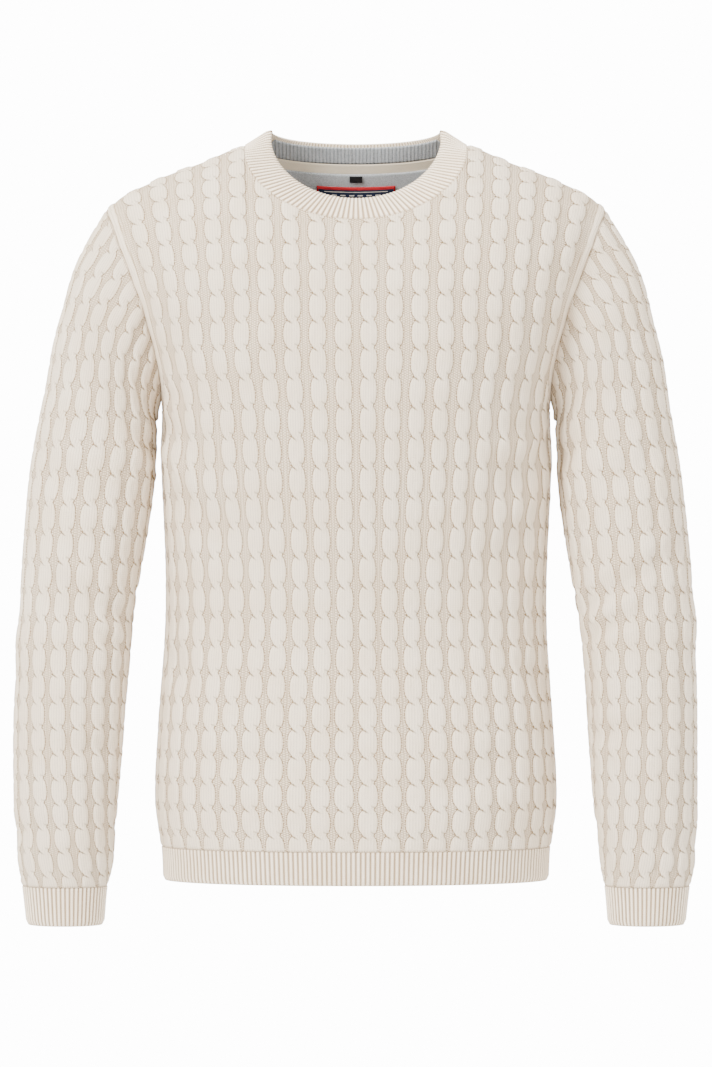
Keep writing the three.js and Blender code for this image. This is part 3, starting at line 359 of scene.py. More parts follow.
# On a sleeve: mm round it from its outer line, + towards the front, and mm up from the cuff.
SLEEVE_LENGTH = 640
SLEEVE_CREASES = {
    1: [
        (158, 360, 30, 318, 8, 13, -4.4), (150, 318, 52, 292, 6, 11, -3.6),
        (-160, 356, -40, 308, 8, 13, -3.8), (-140, 300, -52, 282, 6, 11, -2.8),
        (140, 196, 62, 168, 6, 12, -2.8), (-130, 142, -50, 122, 6, 12, -2.4),
        (176, 574, 104, 512, 8, 12, -3.4), (-176, 568, -98, 500, 8, 12, -3.2),
        (124, 462, 36, 424, 7, 16, -2.4), (-112, 448, -28, 398, 7, 16, -2.2),
        (92, 60, -8, 38, 5, 11, -2.2), (-104, 68, -36, 42, 5, 10, -2.0),
        (46, 258, -36, 242, 6, 18, 1.8), (62, 526, -32, 474, 8, 24, 1.5),
    ],
    -1: [
        (156, 348, 38, 300, 9, 14, -4.2), (146, 300, 44, 282, 5, 10, -3.2),
        (-158, 366, -32, 324, 7, 13, -3.8), (-136, 316, -60, 290, 6, 11, -3.0),
        (132, 172, 56, 150, 6, 12, -2.6), (-136, 206, -58, 176, 6, 13, -2.6),
        (174, 580, 92, 526, 8, 12, -3.6), (-178, 560, -108, 508, 8, 12, -3.0),
        (118, 440, 22, 408, 8, 17, -2.6), (-118, 470, -34, 428, 7, 15, -2.0),
        (80, 72, -14, 46, 5, 11, -2.0), (-110, 58, -28, 36, 5, 11, -2.2),
        (52, 240, -30, 226, 6, 18, 1.6), (56, 536, -36, 492, 8, 24, 1.5),
    ],
}


def crease_lift(creases, across, height):
    """How far creases push the cloth out, in mm. Troughs have a soft rim on both sides."""
    lift = np.zeros(np.shape(across))
    for x0, z0, x1, z1, bow, width, depth in creases:
        way = np.array([x1 - x0, z1 - z0], float)
        length = np.hypot(*way)
        way /= length
        t = ((across - x0) * way[0] + (height - z0) * way[1]) / length
        bowed = bow * np.sin(np.pi * np.clip(t, 0, 1))
        side_step = (height - z0) * way[0] - (across - x0) * way[1] - bowed
        taper = ease((t + 0.12) / 0.4) * ease((1.12 - t) / 0.55)
        r = side_step / (width * (0.75 + 0.5 * t.clip(0, 1)))
        lift += depth * taper * (np.exp(-r * r) - 0.32 * np.exp(-((np.abs(r) - 1.7) ** 2) / 0.5))
    return lift


print(sum(map(len, BODY_CREASES.values())), "creases on the body,", len(SLEEVE_CREASES[1]), "on each sleeve")


# %% [markdown]
# ## Turning grids into cloth
# A piece of cloth is a thin shell: a fine grid outside, which carries the knit, and a coarser one
# inside, joined round the edges. make_shell takes both as arrays of points, with a mask of the
# points that the cut of the piece leaves, and builds the closed mesh. It stores the way out of the
# cloth as an attribute, so that the relief of the knit can be raised later by geometry nodes.

# %% Build a shell from two grids
ROW_STEP, LINE_STEP = 3, 2
INSIDE_TOO = ("cable", "weave", "wide")  # attributes that the inner face carries as well


def add_object(name, data):
    thing = bpy.data.objects.new(name, data)
    bpy.context.collection.objects.link(thing)
    return thing


def corners(grid):
    """The four corners of every cell of a grid, in order round the cell."""
    return grid[:-1, :-1], grid[:-1, 1:], grid[1:, 1:], grid[1:, :-1]


def make_shell(name, outer, normal, inner, values, keep=None, closed=False, flip=False):
    """A closed shell. values holds arrays over the outer grid that become attributes."""
    rows, lines = outer.shape[:2]
    keep = np.ones((rows, lines), bool) if keep is None else keep
    index = np.full((rows, lines), -1)
    index[keep] = np.arange(keep.sum())
    if closed:
        index = np.concatenate([index, index[:, :1]], 1)
        keep = np.concatenate([keep, keep[:, :1]], 1)
    quads = np.stack(corners(index), -1)[np.logical_and.reduce(corners(keep))]
    coarse_keep = keep[::ROW_STEP, ::LINE_STEP]
    coarse_index = np.full(coarse_keep.shape, -1)
    picked = coarse_keep[:, :-1] if closed else coarse_keep
    coarse_index[:, : picked.shape[1]][picked] = index.max() + 1 + np.arange(picked.sum())
    if closed:
        coarse_index[:, -1] = coarse_index[:, 0]
    solid = np.logical_and.reduce(corners(coarse_keep))
    first, *others = corners(coarse_index)
    backs = np.stack([first, *others[::-1]], -1)[solid]
    faces = quads.tolist() + backs.tolist() + rim_faces(index, coarse_index, solid, closed)
    if flip:
        faces = [face[::-1] for face in faces]
    own = keep[:, :-1] if closed else keep
    inner_points = inner[::ROW_STEP, ::LINE_STEP][picked]
    points = np.concatenate([outer[own], inner_points]) * MM
    mesh = bpy.data.meshes.new(name)
    mesh.from_pydata(points.tolist(), [], faces)
    mesh.shade_smooth()
    values = {"out": normal, "relief": np.ones(outer.shape[:2]), **values}
    for key, value in values.items():
        data = value[own].astype(np.float32)
        behind = value[::ROW_STEP, ::LINE_STEP][picked].astype(np.float32)
        data = np.concatenate([data, behind * (key in INSIDE_TOO)])
        kind, field = ("FLOAT_VECTOR", "vector") if data.ndim == 2 else ("FLOAT", "value")
        mesh.attributes.new(key, kind, "POINT").data.foreach_set(field, data.ravel())
    print(name, len(mesh.vertices), "points")
    return add_object(name, mesh)


def rim_faces(index, coarse_index, solid, closed):
    """Faces round the open edges of a shell, from the fine outer grid to the coarse inner one."""
    rims = []
    rows, lines = solid.shape

    def has(i, j):
        if closed:
            j %= lines
        return 0 <= i < rows and 0 <= j < lines and solid[i, j]

    def fine(i, j, down, across):
        ends = range(ROW_STEP + 1) if down else range(LINE_STEP + 1)
        return [int(index[i * ROW_STEP + k * down, j * LINE_STEP + k * across]) for k in ends]

    for i, j in np.argwhere(solid):
        low, high = ([int(coarse_index[row, j]), int(coarse_index[row, j + 1])] for row in (i, i + 1))
        if not has(i - 1, j):
            rims.append(fine(i, j, 0, 1)[::-1] + low)
        if not has(i + 1, j):
            rims.append(fine(i + 1, j, 0, 1) + high[::-1])
        if not has(i, j - 1):
            rims.append(fine(i, j, 1, 0) + [high[0], low[0]])
        if not has(i, j + 1):
            rims.append(fine(i, j + 1, 1, 0)[::-1] + [low[1], high[1]])
    return rims


def nearest(points, targets, reach):
    """For each point: the distance to the nearest target within reach, and which one it is."""
    distance = np.full(len(points), float(reach))
    which = np.zeros(len(points), int)
    low, high = targets.min(0) - reach, targets.max(0) + reach
    near = np.flatnonzero(((points > low) & (points < high)).all(1))
    for part in np.array_split(near, len(near) // 4000 + 1):
        gaps = np.linalg.norm(points[part][:, None] - targets[None], axis=-1)
        best = gaps.argmin(1)
        distance[part] = np.minimum(reach, gaps[np.arange(len(part)), best])
        which[part] = best
    return distance, which


# %% [markdown]
# ## The front and the back
# Both panels are knitted flat in one cable pattern: narrow ropes of two strands side by side, with a
# valley of plain purl stitches between them. The rows of crossings are placed as in the photograph, so
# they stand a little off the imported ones. The front's middle is a valley, and eleven ropes fill
# each half. The grid's lines follow the knit up from the hem. They squeeze into the scoop under each
# arm, and lean to the neck's corner above, so that no edge is stepped.

# %% Rows of the cable pattern
FIRST_ROW, ROW_PITCH, HEM_ROW_PITCH = -634, 27.2, 24.0
YOKE_ROW_PITCH, CUFF_ROW_PITCH = 24.6, 21.8


def row_marks(first, end, pitch_at):
    """Where each row of crossings lies, from a pitch that changes along the piece."""
    marks = [first]
    while marks[-1] < end:
        marks.append(marks[-1] + pitch_at(marks[-1]))
    return np.array(marks)


def body_pitch(s):
    lower = mix(HEM_ROW_PITCH, ROW_PITCH, ease((s - FIRST_ROW) / 240))
    return mix(lower, YOKE_ROW_PITCH, ease((s + 260) / 110))


BODY_ROWS = row_marks(FIRST_ROW, 120, body_pitch)
SLEEVE_ROWS = row_marks(12, 780, lambda s: mix(CUFF_ROW_PITCH, ROW_PITCH, ease(s / 330)))


def row_number(marks, length):
    """Counts rows at a length. Below the first row the count goes on evenly."""
    low = (np.minimum(length, marks[0]) - marks[0]) / (marks[1] - marks[0])
    return np.interp(length, marks, np.arange(len(marks))) + low


# %% Panels
PATCH_FOOT = -262
ROWS_BELOW, ROWS_SCOOP, ROWS_ABOVE = 162, 30, 93
CORE_LINES, SIDE_LINES = 94, 16
BAND_WIDTH, SEAM_FADE, SHOULDER_FADE, NORMAL_BLEND, CREASE_FADE = 8.0, 4.0, 18.0, 9.0, 22.0
SEAM_REACH = 40
BODY_SWELL, SLEEVE_SWELL = 0.9, 0.8
ROPE_WIDE = {"hem": 1.2, "shoulder": 0.98, "sleeve": 1.12}


def panel_grid(side):
    """The places (u, s) of a panel's grid and the mask of those that its cut leaves."""
    side_half = np.linspace(ARMHOLE_U, 1, SIDE_LINES + 1)
    half = np.concatenate([np.linspace(0, ARMHOLE_U, CORE_LINES + 1), side_half[1:]])
    lines = np.concatenate([-half[:0:-1], half])
    core = np.abs(lines) <= ARMHOLE_U + 1e-9
    share = np.clip((1 - np.abs(lines)) / (1 - ARMHOLE_U), 0, 1)
    scoop = np.where(core, SCOOP_TOP, SCOOP_TOP - (SCOOP_TOP - UNDERARM) * np.sqrt(1 - share**2))
    snap = half[np.abs(half - NECK_CORNER).argmin()]
    stretch = np.interp(np.abs(lines), [0, snap, ARMHOLE_U, 1], [0, NECK_CORNER, ARMHOLE_U, 1])
    stretch *= np.sign(lines)
    top_u = np.where(np.abs(stretch) < NECK_CORNER, neck_lean(stretch), stretch)
    top = neck_height(side, top_u)
    below = np.linspace(HEM_SEAM, PATCH_FOOT, ROWS_BELOW + 1)[:, None] + 0 * lines
    rise = np.linspace(0, 1, ROWS_SCOOP + 1)[1:, None]
    beside = mix(PATCH_FOOT, scoop[None], rise)
    climb = np.linspace(0, 1, ROWS_ABOVE + 1)[1:, None]
    above = mix(SCOOP_TOP, top[None], climb)
    leaning = mix(lines[None], top_u[None], climb**1.5)
    u = np.concatenate([below * 0 + lines, beside * 0 + lines, leaning])
    s = np.concatenate([below, beside, above])
    keep = np.ones(u.shape, bool)
    keep[ROWS_BELOW + ROWS_SCOOP + 1 :] = core[None]
    return u, s, keep


def make_panel(name, side):
    u, s, keep = panel_grid(side)
    point, normal = torso_point(side, u, s), torso_normal(side, u, s)
    shape = point.shape[:2]
    flat_points = point.reshape(-1, 3)
    arms = [armhole_seam(side, hand, ARMHOLE_AT) for hand in (1, -1)]
    arm_points, arm_normals = (np.concatenate(both) for both in zip(*arms))
    neck_points, neck_normals, _ = neck_seam(side, NECK_US)
    arm_gap, arm_at = nearest(flat_points, arm_points, SEAM_REACH)
    neck_gap, neck_at = nearest(flat_points, neck_points, SEAM_REACH)
    for gap, at, normals in ((arm_gap, arm_at, arm_normals), (neck_gap, neck_at, neck_normals)):
        weight = (1 - ease(gap / NORMAL_BLEND)).reshape(*shape, 1)
        normal = unit(mix(normal, normals[at].reshape(*shape, 3), weight))
    arm_gap, neck_gap = arm_gap.reshape(shape), neck_gap.reshape(shape)
    shoulder_gap = np.where(np.abs(u) > NECK_CORNER - 0.01, line_top(side, u) - s, SEAM_REACH)
    hem_gap, side_gap = s - HEM_SEAM, (1 - np.abs(u)) * COLUMNS * CHEST_PITCH
    fade = ease((arm_gap - BAND_WIDTH) / SEAM_FADE) * ease(neck_gap / SEAM_FADE)
    fade *= ease((shoulder_gap + 2) / SHOULDER_FADE) * ease(hem_gap / SEAM_FADE) * ease(side_gap / 2)
    band = ease(arm_gap / 1.6) * ease((BAND_WIDTH + 1 - arm_gap) / 1.8)
    edge = np.minimum.reduce([arm_gap, neck_gap, shoulder_gap, hem_gap, side_gap])
    calm = ease(np.minimum.reduce([arm_gap, neck_gap, shoulder_gap, hem_gap, side_gap + 8]) / CREASE_FADE)
    crease = crease_lift(BODY_CREASES[side], u * COLUMNS * CHEST_PITCH, s) * calm
    crease += BODY_SWELL * calm * np.sin(u * 9.0 + side) * np.sin(s / 61.0 + u * 2.2 + side)
    cable = np.stack([-side * u * COLUMNS, row_number(BODY_ROWS, s), fade], -1)
    wide = mix(ROPE_WIDE["hem"], ROPE_WIDE["shoulder"], ease((s - HEM_SEAM) / 480))
    values = {"cable": cable, "band": band, "edge": edge, "wide": wide}
    outer = point + normal * crease[..., None]
    return make_shell(name, outer, normal, outer + normal * INSIDE, values, keep, flip=side == BACK)


front_panel = make_panel("front_cables", FRONT)
back_panel = make_panel("back_cables", BACK)

# %% [markdown]
# ## The sleeves
# A sleeve is knitted flat too and closed by a seam under the arm. Its ropes run down from the
# shoulder, and the seam cuts those beside it as the sleeve narrows to the wrist. Each level section
# is an oval that leans with the arm, and the top one is pulled to the armhole's edge. The piece is
# one function of the hand, so the right sleeve is the left one mirrored, apart from its creases and
# from the twist of its ropes, which all turn the same way in the real garment too.

# %% Sample the sleeves
CAP_FADE, HALF_STEPS, CUFF_SEAM, CUFF_END = 1.7, 96, 9, 10
TOP_PITCH, CUFF_PITCH = 22.2, 19.4
LINES_A_COLUMN, SLEEVE_GRID_ROWS = 9, 282


def armhole_line(side, hand, share):
    """Points and outward normals at shares of the length of one side of an armhole."""
    points, normals = armhole_seam(side, hand, ARMHOLE_AT)
    lengths = lengths_of(points)
    at = share * lengths[-1]
    return read_line(lengths, points, at), unit(read_line(lengths, normals, at))


def sleeve_rings(at, q, hand):
    """Points of the sleeve over its cables: one ring of q places for each at."""
    at = np.asarray(at, float)[:, None]
    angle = np.linspace(0, np.pi, HALF_STEPS + 1)[None]
    part = {key: read_table(SLEEVE, "at", at, key) for key in SLEEVE if key != "at"}
    x, z = (mix(part["inner_" + key], part["outer_" + key], (1 + np.cos(angle)) / 2) for key in "xz")
    ring = np.stack([x, -part["half_depth"] * np.sin(angle), z], -1)
    lengths = lengths_of(ring.transpose(1, 0, 2))
    half = lengths[-1]
    rings = np.stack([read_line(lengths[:, i], ring[i], np.abs(q) * half[i]) for i in range(len(at))])
    rings[..., 1] = np.where(q >= 0, 1, -1) * rings[..., 1] + part["y"]
    rings[..., 0] *= hand
    return rings, half


def make_sleeve(name, hand):
    q = np.linspace(-1, 1, 2 * SLEEVE_COLUMNS * LINES_A_COLUMN + 1)[:-1]
    fine = np.linspace(0, CUFF_SEAM, 361)
    outer_line, _ = sleeve_rings(fine, np.array([0.0, 0.5]), hand)
    length = lengths_of(outer_line).mean(1)
    at = np.interp(np.linspace(0, length[-1], SLEEVE_GRID_ROWS + 1), length, fine)
    point, half = sleeve_rings(at, q, hand)
    top, _ = sleeve_rings([0.0], q, hand)
    seam, seam_normal = np.empty((len(q), 3)), np.empty((len(q), 3))
    for side in (FRONT, BACK):
        own = (q >= 0) == (side == FRONT)
        seam[own], seam_normal[own] = armhole_line(side, hand, np.abs(q[own]))
    pull = np.maximum(0, 1 - at / CAP_FADE) ** 2
    point = point + (seam - top[0])[None] * pull[:, None, None]
    from_top = lengths_of(point)
    total = from_top[-1]
    from_cuff = total - from_top
    blend = 1 - ease(from_top / NORMAL_BLEND)
    normal = unit(mix(ring_normals(point), seam_normal[None], blend[..., None]))
    pitch = mix(TOP_PITCH, CUFF_PITCH, at / CUFF_SEAM)
    column = q[None] * half[:, None] / pitch[:, None]
    under_gap = (1 - np.abs(q))[None] * half[:, None]
    fade = ease(from_top / SEAM_FADE) * ease(from_cuff / SEAM_FADE) * ease(under_gap / 3)
    edge = np.minimum.reduce([from_top, from_cuff, under_gap])
    calm = ease(from_top / CREASE_FADE) * ease(from_cuff / CREASE_FADE)
    across, height = q[None] * half[:, None], from_cuff / total[None] * SLEEVE_LENGTH
    crease = crease_lift(SLEEVE_CREASES[hand], across, height) * calm
    crease += SLEEVE_SWELL * calm * np.sin(height / 43.0 + q[None] * 4 + hand) * np.cos(q[None] * 7)
    cable = np.stack([-hand * column, row_number(SLEEVE_ROWS, from_cuff), fade], -1)
    outer = point + normal * crease[..., None]
    values = {"cable": cable, "band": 0 * edge, "edge": edge, "wide": 0 * edge + ROPE_WIDE["sleeve"]}
    return make_shell(name, outer, normal, outer + normal * INSIDE, values, closed=True, flip=hand > 0)


left_sleeve = make_sleeve("left_sleeve_cables", 1)
right_sleeve = make_sleeve("right_sleeve_cables", -1)

# %% [markdown]
# ## Ribs at the neck, hem and cuffs
# The edges are knitted in a one by one rib: a column of plain stitches stands up beside a column of
# purl ones, all the way round, and the rib draws the cloth in. Each rib is a closed ring between two
# edges. The neckband is folded double in the real garment, so its top edge is round.

# %% Ribs
RIB_TOP, RIB_RISE, BAND_GAP, NECK_PART = -0.7, 1.7, 0.3, 0.3
CUFF_GAP = 0.01  # as a share of the cuff's length
HEM_RIBS, NECK_RIBS, CUFF_RIBS = 210, 156, 56


def make_rib(name, surface, ribs, lines_a_rib, rows, courses, flip, free_top=False):
    """surface(share, height) gives points round the ring, and height runs from 0 to 1."""
    lines = ribs * lines_a_rib
    shares, heights = np.meshgrid(np.arange(lines) / lines, np.linspace(0, 1, rows + 1))
    point = surface(shares, heights)
    normal = ring_normals(point)
    round_off = (1 - heights if free_top else heights) * rows
    rib = np.stack([shares * ribs, heights * courses, ease(round_off / 2)], -1)
    values = {"cable": rib, "band": 0 * heights, "edge": round_off}
    return make_shell(name, point, normal, point + normal * INSIDE, values, closed=True, flip=flip)


def hem_surface(share, height):
    front = share < 0.5
    u = np.where(front, 4 * share - 1, 3 - 4 * share)
    s = mix(HEM_BOTTOM, HEM_SEAM - BAND_GAP, height)
    return np.where(front[..., None], *(torso_point(side, u, s) for side in (FRONT, BACK)))


NECK_LOW = {}
for side in (FRONT, BACK):
    seam_points, seam_normals, seam_across = neck_seam(side, NECK_US)
    NECK_LOW[side] = (seam_points + seam_across * NECK_PART, seam_normals)


def neck_low(side, part, lift):
    points, normals = NECK_LOW[side]
    lengths = lengths_of(points)
    at = part * lengths[-1]
    return read_line(lengths, points, at) + unit(read_line(lengths, normals, at)) * lift


def neck_top(side, part):
    return neck_top_point(side, np.abs(2 * part - 1), np.sign(part - 0.5))


def neckband_surface(share, height):
    front = share < 0.5
    part = np.where(front, 2 * share, 2 - 2 * share)
    high = height[..., None]
    faces = [mix(neck_low(side, part, 0), neck_top(side, part), high) for side in (FRONT, BACK)]
    return np.where(front[..., None], *faces)


def cuff_surface(hand):
    def surface(share, height):
        at = mix(CUFF_END, CUFF_SEAM + CUFF_GAP, height[:, 0])
        return sleeve_rings(at, 2 * share[0] - 1, hand)[0]

    return surface


hem = make_rib("hem_ribbing", hem_surface, HEM_RIBS, 6, 15, 18, flip=False)
neckband = make_rib("neckband_ribbing", neckband_surface, NECK_RIBS, 6, 12, 13, flip=False, free_top=True)
left_cuff = make_rib("left_cuff_ribbing", cuff_surface(1), CUFF_RIBS, 8, 15, 20, flip=True)
right_cuff = make_rib("right_cuff_ribbing", cuff_surface(-1), CUFF_RIBS, 8, 15, 20, flip=False)

# %% [markdown]
# ## Arithmetic for node trees
# Both the relief and the colours follow formulas. This small class lets them be written as sums: each
# operator adds one Math node to a tree, and works in geometry and in shader trees alike.


# %% Values in a node tree
class Value:
    """A number that flows through a node tree."""

    def __init__(self, tree, socket):
        self.tree, self.socket = tree, socket

    def math(self, operation, *others):
        inputs = dict(enumerate((self, *others)))
        return Value(self.tree, add_node(self.tree, "ShaderNodeMath", inputs, operation=operation))

    def __add__(self, other):
        return self.math("ADD", other)

    def __sub__(self, other):
        return self.math("SUBTRACT", other)

    def __rsub__(self, other):
        return self.math("MULTIPLY_ADD", -1.0, other)

    def __mul__(self, other):
        return self.math("MULTIPLY", other)

    def __truediv__(self, other):
        return self.math("DIVIDE", other)

    def over(self, low, high):
        """0 below low, 1 above high and a smooth step between."""
        inputs = {"Value": self, "From Min": low, "From Max": high}
        kind, smooth = "ShaderNodeMapRange", "SMOOTHSTEP"
        return Value(self.tree, add_node(self.tree, kind, inputs, interpolation_type=smooth))

    def bump(self, width):
        """1 where this value is 0, falling to 0 at width on both sides."""
        return self.math("ABSOLUTE").over(width, 0.0)

    __radd__, __rmul__ = __add__, __mul__


def feed(tree, slot, value):
    if isinstance(value, Value):
        tree.links.new(value.socket, slot)
    elif hasattr(value, "is_output"):
        tree.links.new(value, slot)
    else:
        slot.default_value = value


def mix_values(first, second, share):
    return first + (second - first) * share


def add_node(tree, kind, inputs, result=0, **settings):
    """Adds a node with its settings, feeds its inputs and gives one of its outputs."""
    node = tree.nodes.new(kind)
    for key, value in settings.items():
        setattr(node, key, value)
    for slot, value in inputs.items():
        feed(tree, node.inputs[slot], value)
    return node.outputs[result]


def split(tree, vector):
    node = tree.nodes.new("ShaderNodeSeparateXYZ")
    tree.links.new(vector, node.inputs[0])
    return [Value(tree, socket) for socket in node.outputs]


def noise_value(tree, scale, detail=2.0, rough=0.5, vector=None):
    inputs = {"Scale": scale, "Detail": detail, "Roughness": rough}
    if vector is not None:
        inputs["Vector"] = vector
    return Value(tree, add_node(tree, "ShaderNodeTexNoise", inputs))


# %% [markdown]
# ## The shape of a rope
# Two strands run side by side up a rope and change places at each crossing, which is short. There the
# strand from the upper left passes over the other one and stands proud, and the lower one dips. Along
# the rest of a row the strands merge into one puffy oval. One function writes this formula into a
# tree, so the raised shape and the painted shadows agree.

# %% Rope formula
CROSS_REACH, SWEEP = 0.25, 0.04
STRAND_HALF, STRAND_MORE, LEAN_AT_CROSSING, LEAN_MORE = 0.18, 0.035, 0.082, 0.045
PROUD, DIP = 0.3, 0.55
PUFF_LEAST, PUFF_MORE = 0.92, 0.14


def rope(column, row, wide):
    """Height of the ropes, 0 in a valley and about 1 on a strand, and the parts that make it."""
    across = (column.math("FRACT") - 0.5) / wide
    along = row - row.math("ROUND")
    far = along.math("ABSOLUTE")

    def swing_of(place):
        turn = (place / CROSS_REACH).math("MINIMUM", 1.0).math("MAXIMUM", -1.0) * (math.pi / 2)
        return turn.math("SINE")

    swing = swing_of(along)
    crossing = 1.0 - swing * swing
    swell = (far * math.pi).math("SINE")
    lean = swell * LEAN_MORE + LEAN_AT_CROSSING
    half = swell * STRAND_MORE + STRAND_HALF

    def strand(way, shift):
        t = (across - swing_of(along - shift) * lean * way) / half
        square = t * t
        return (1.0 - square * square).math("MAXIMUM", 0.0), t

    over, over_t = strand(-1.0, SWEEP)
    under, under_t = strand(1.0, 0.0)
    top, low = over * (crossing * PROUD + 1.0), under * (1.0 - crossing * DIP)
    height = top.math("MAXIMUM", low)
    puff = swell * PUFF_MORE + PUFF_LEAST
    return {
        "height": height * puff, "across": across, "along": along, "crossing": crossing,
        "over": over, "under": under, "over_t": over_t, "under_t": under_t,
    }


# %% [markdown]
# ## Raising the knit
# One geometry nodes tree moves the points of a cable piece out along the cloth by the rope formula,
# and another raises ribs. At a seam the ropes fade out, because the stitches are caught there.

# %% Geometry node trees
LOOSE_SCALE = 70.0  # of the slow unevenness in how high the knit stands


def new_group(kind, name, inputs, outputs):
    """An empty node group. Each socket is (label, kind) or (label, kind, default)."""
    group = bpy.data.node_groups.new(name, kind)
    for in_out, sockets in (("INPUT", inputs), ("OUTPUT", outputs)):
        for label, socket_kind, *default in sockets:
            socket = group.interface.new_socket(label, in_out=in_out, socket_type="NodeSocket" + socket_kind)
            if default:
                socket.default_value = default[0]
    return group, group.nodes.new("NodeGroupInput"), group.nodes.new("NodeGroupOutput")


def named(tree, name, kind="FLOAT"):
    inputs = {"Name": name}
    return add_node(tree, "GeometryNodeInputNamedAttribute", inputs, "Attribute", data_type=kind)


def lift_tree(name, height_of):
    """A tree that lifts points by height_of(tree, inputs, cable) millimetres and sets a material."""
    settings = [("Rise", "Float", CABLE_RISE), ("Ground", "Float", PLAIN), ("Softness", "Float", 0.22)]
    geometry = ("Geometry", "Geometry")
    inputs = [geometry, *settings, ("Material", "Material")]
    tree, given, out = new_group("GeometryNodeTree", name, inputs, [geometry])
    cable = split(tree, named(tree, "cable", "FLOAT_VECTOR"))
    height = height_of(tree, given, cable)
    loose = (noise_value(tree, LOOSE_SCALE) - 0.5) * Value(tree, given.outputs["Softness"]) * 2.0
    lift = (height + loose * cable[2]) * Value(tree, named(tree, "relief")) * MM
    inputs = {0: named(tree, "out", "FLOAT_VECTOR"), "Scale": lift}
    way = add_node(tree, "ShaderNodeVectorMath", inputs, operation="SCALE")
    inputs = {"Geometry": given.outputs["Geometry"], "Offset": way}
    moved = add_node(tree, "GeometryNodeSetPosition", inputs)
    inputs = {"Geometry": moved, "Material": given.outputs["Material"]}
    feed(tree, out.inputs[0], add_node(tree, "GeometryNodeSetMaterial", inputs))
    return tree


BAND_RISE, CAUGHT, BRIDGE = 1.5, 0.7, 0.35
RIB_SQUARE, RIB_SINK = 0.6, 0.6


def cable_height(tree, given, cable):
    shape = rope(cable[0], cable[1], Value(tree, named(tree, "wide")))
    band = Value(tree, named(tree, "band"))
    caught = Value(tree, named(tree, "edge")).over(5.0, 0.6) * CAUGHT
    rise = shape["height"] * cable[2] * Value(tree, given.outputs["Rise"])
    bridge = (1.0 - shape["height"]).math("MAXIMUM", 0.0) * shape["crossing"] * cable[2] * BRIDGE
    stitch = (cable[1] * 15.5).math("FRACT").math("PINGPONG", 0.5) * band * 0.5
    return rise + bridge + band * BAND_RISE + stitch + caught + Value(tree, given.outputs["Ground"])


def rib_height(tree, given, cable):
    ridge = (cable[0] * (2 * math.pi)).math("COSINE") * 0.5 + 0.5
    rounded = ridge.math("POWER", RIB_SQUARE)
    shape = rounded * (cable[2] * 0.75 + 0.25) * Value(tree, given.outputs["Rise"])
    return shape + Value(tree, given.outputs["Ground"]) - (1.0 - cable[2]) * RIB_SINK


cable_tree = lift_tree("raise the cables", cable_height)
rib_tree = lift_tree("raise the ribs", rib_height)


def raise_knit(thing, tree, material, **settings):
    """Applies a tree to a piece and keeps the result as a plain mesh."""
    modifier = thing.modifiers.new("knit", "NODES")
    modifier.node_group = tree
    settings["Material"] = material
    for item in tree.interface.items_tree:
        if item.in_out == "INPUT" and item.name in settings:
            modifier[item.identifier] = settings[item.name]
    depsgraph = bpy.context.evaluated_depsgraph_get()
    depsgraph.update()
    made = bpy.data.meshes.new_from_object(thing.evaluated_get(depsgraph), depsgraph=depsgraph)
    thing.modifiers.clear()
    old, thing.data = thing.data, made
    made.name = old.name
    bpy.data.meshes.remove(old)


# %% [markdown]
# ## What the yarn looks like
# Matte cotton yarn has hardly any shine and a faint fuzz. Close up, plain stitches are rows of small
# V shapes and purl stitches are rows of bumps. These effects are groups that only give heights, masks
# and shades, so the same stitches serve every knitted material. They read the attribute that the
# geometry was built with, so stitches follow the knit round the body.

# %% Shader groups
WALES_A_ROPE, COURSES_A_ROW, PURL_COURSES, WALE_DRIFT = 9.6, 15.6, 0.74, 0.04


def shader_group(name, inputs, *outputs):
    """A shader group whose outputs are all numbers."""
    return new_group("ShaderNodeTree", name, inputs, [(label, "Float") for label in outputs])


def send(tree, out, **values):
    for label, value in values.items():
        feed(tree, out.inputs[label], value)


def make_rope_map():
    """Where the ropes stand: masks for valleys, edges and the notch beside a crossing, and the wales across
    a rope.
    """
    inputs = [("Cable", "Vector"), ("Band", "Float"), ("Wide", "Float")]
    group, given, out = shader_group("rope map", inputs, "Valley", "Notch", "Edge", "Wales")
    column, row, fade = split(group, given.outputs[0])
    shape = rope(column, row, Value(group, given.outputs["Wide"]))
    across, along = shape["across"], shape["along"]
    near = shape["over_t"].math("ABSOLUTE").math("MINIMUM", shape["under_t"].math("ABSOLUTE"))
    flat = (1.0 - Value(group, given.outputs["Band"])).math("MAXIMUM", 0.0)
    valley = near.over(0.95, 1.12) * flat
    left = (along + across * 0.55 + 0.115).bump(0.055) * (across + 0.12).bump(0.22)
    right = (along + across * 0.5 - 0.2).bump(0.05) * (across - 0.19).bump(0.14)
    notch = (left + right * 0.6).math("MINIMUM", 1.0) * fade
    dots = ((row * COURSES_A_ROW * 0.5).math("FRACT") - 0.5).bump(0.42)
    edge = (near - 1.07).bump(0.15) * (dots * 0.6 + 0.4) * fade
    drift = shape["over"].math("GREATER_THAN", shape["under"]) - 0.5
    wales = (across + drift * shape["crossing"] * WALE_DRIFT) * WALES_A_ROPE
    send(group, out, Valley=valley, Notch=notch, Edge=edge, Wales=wales)
    return group


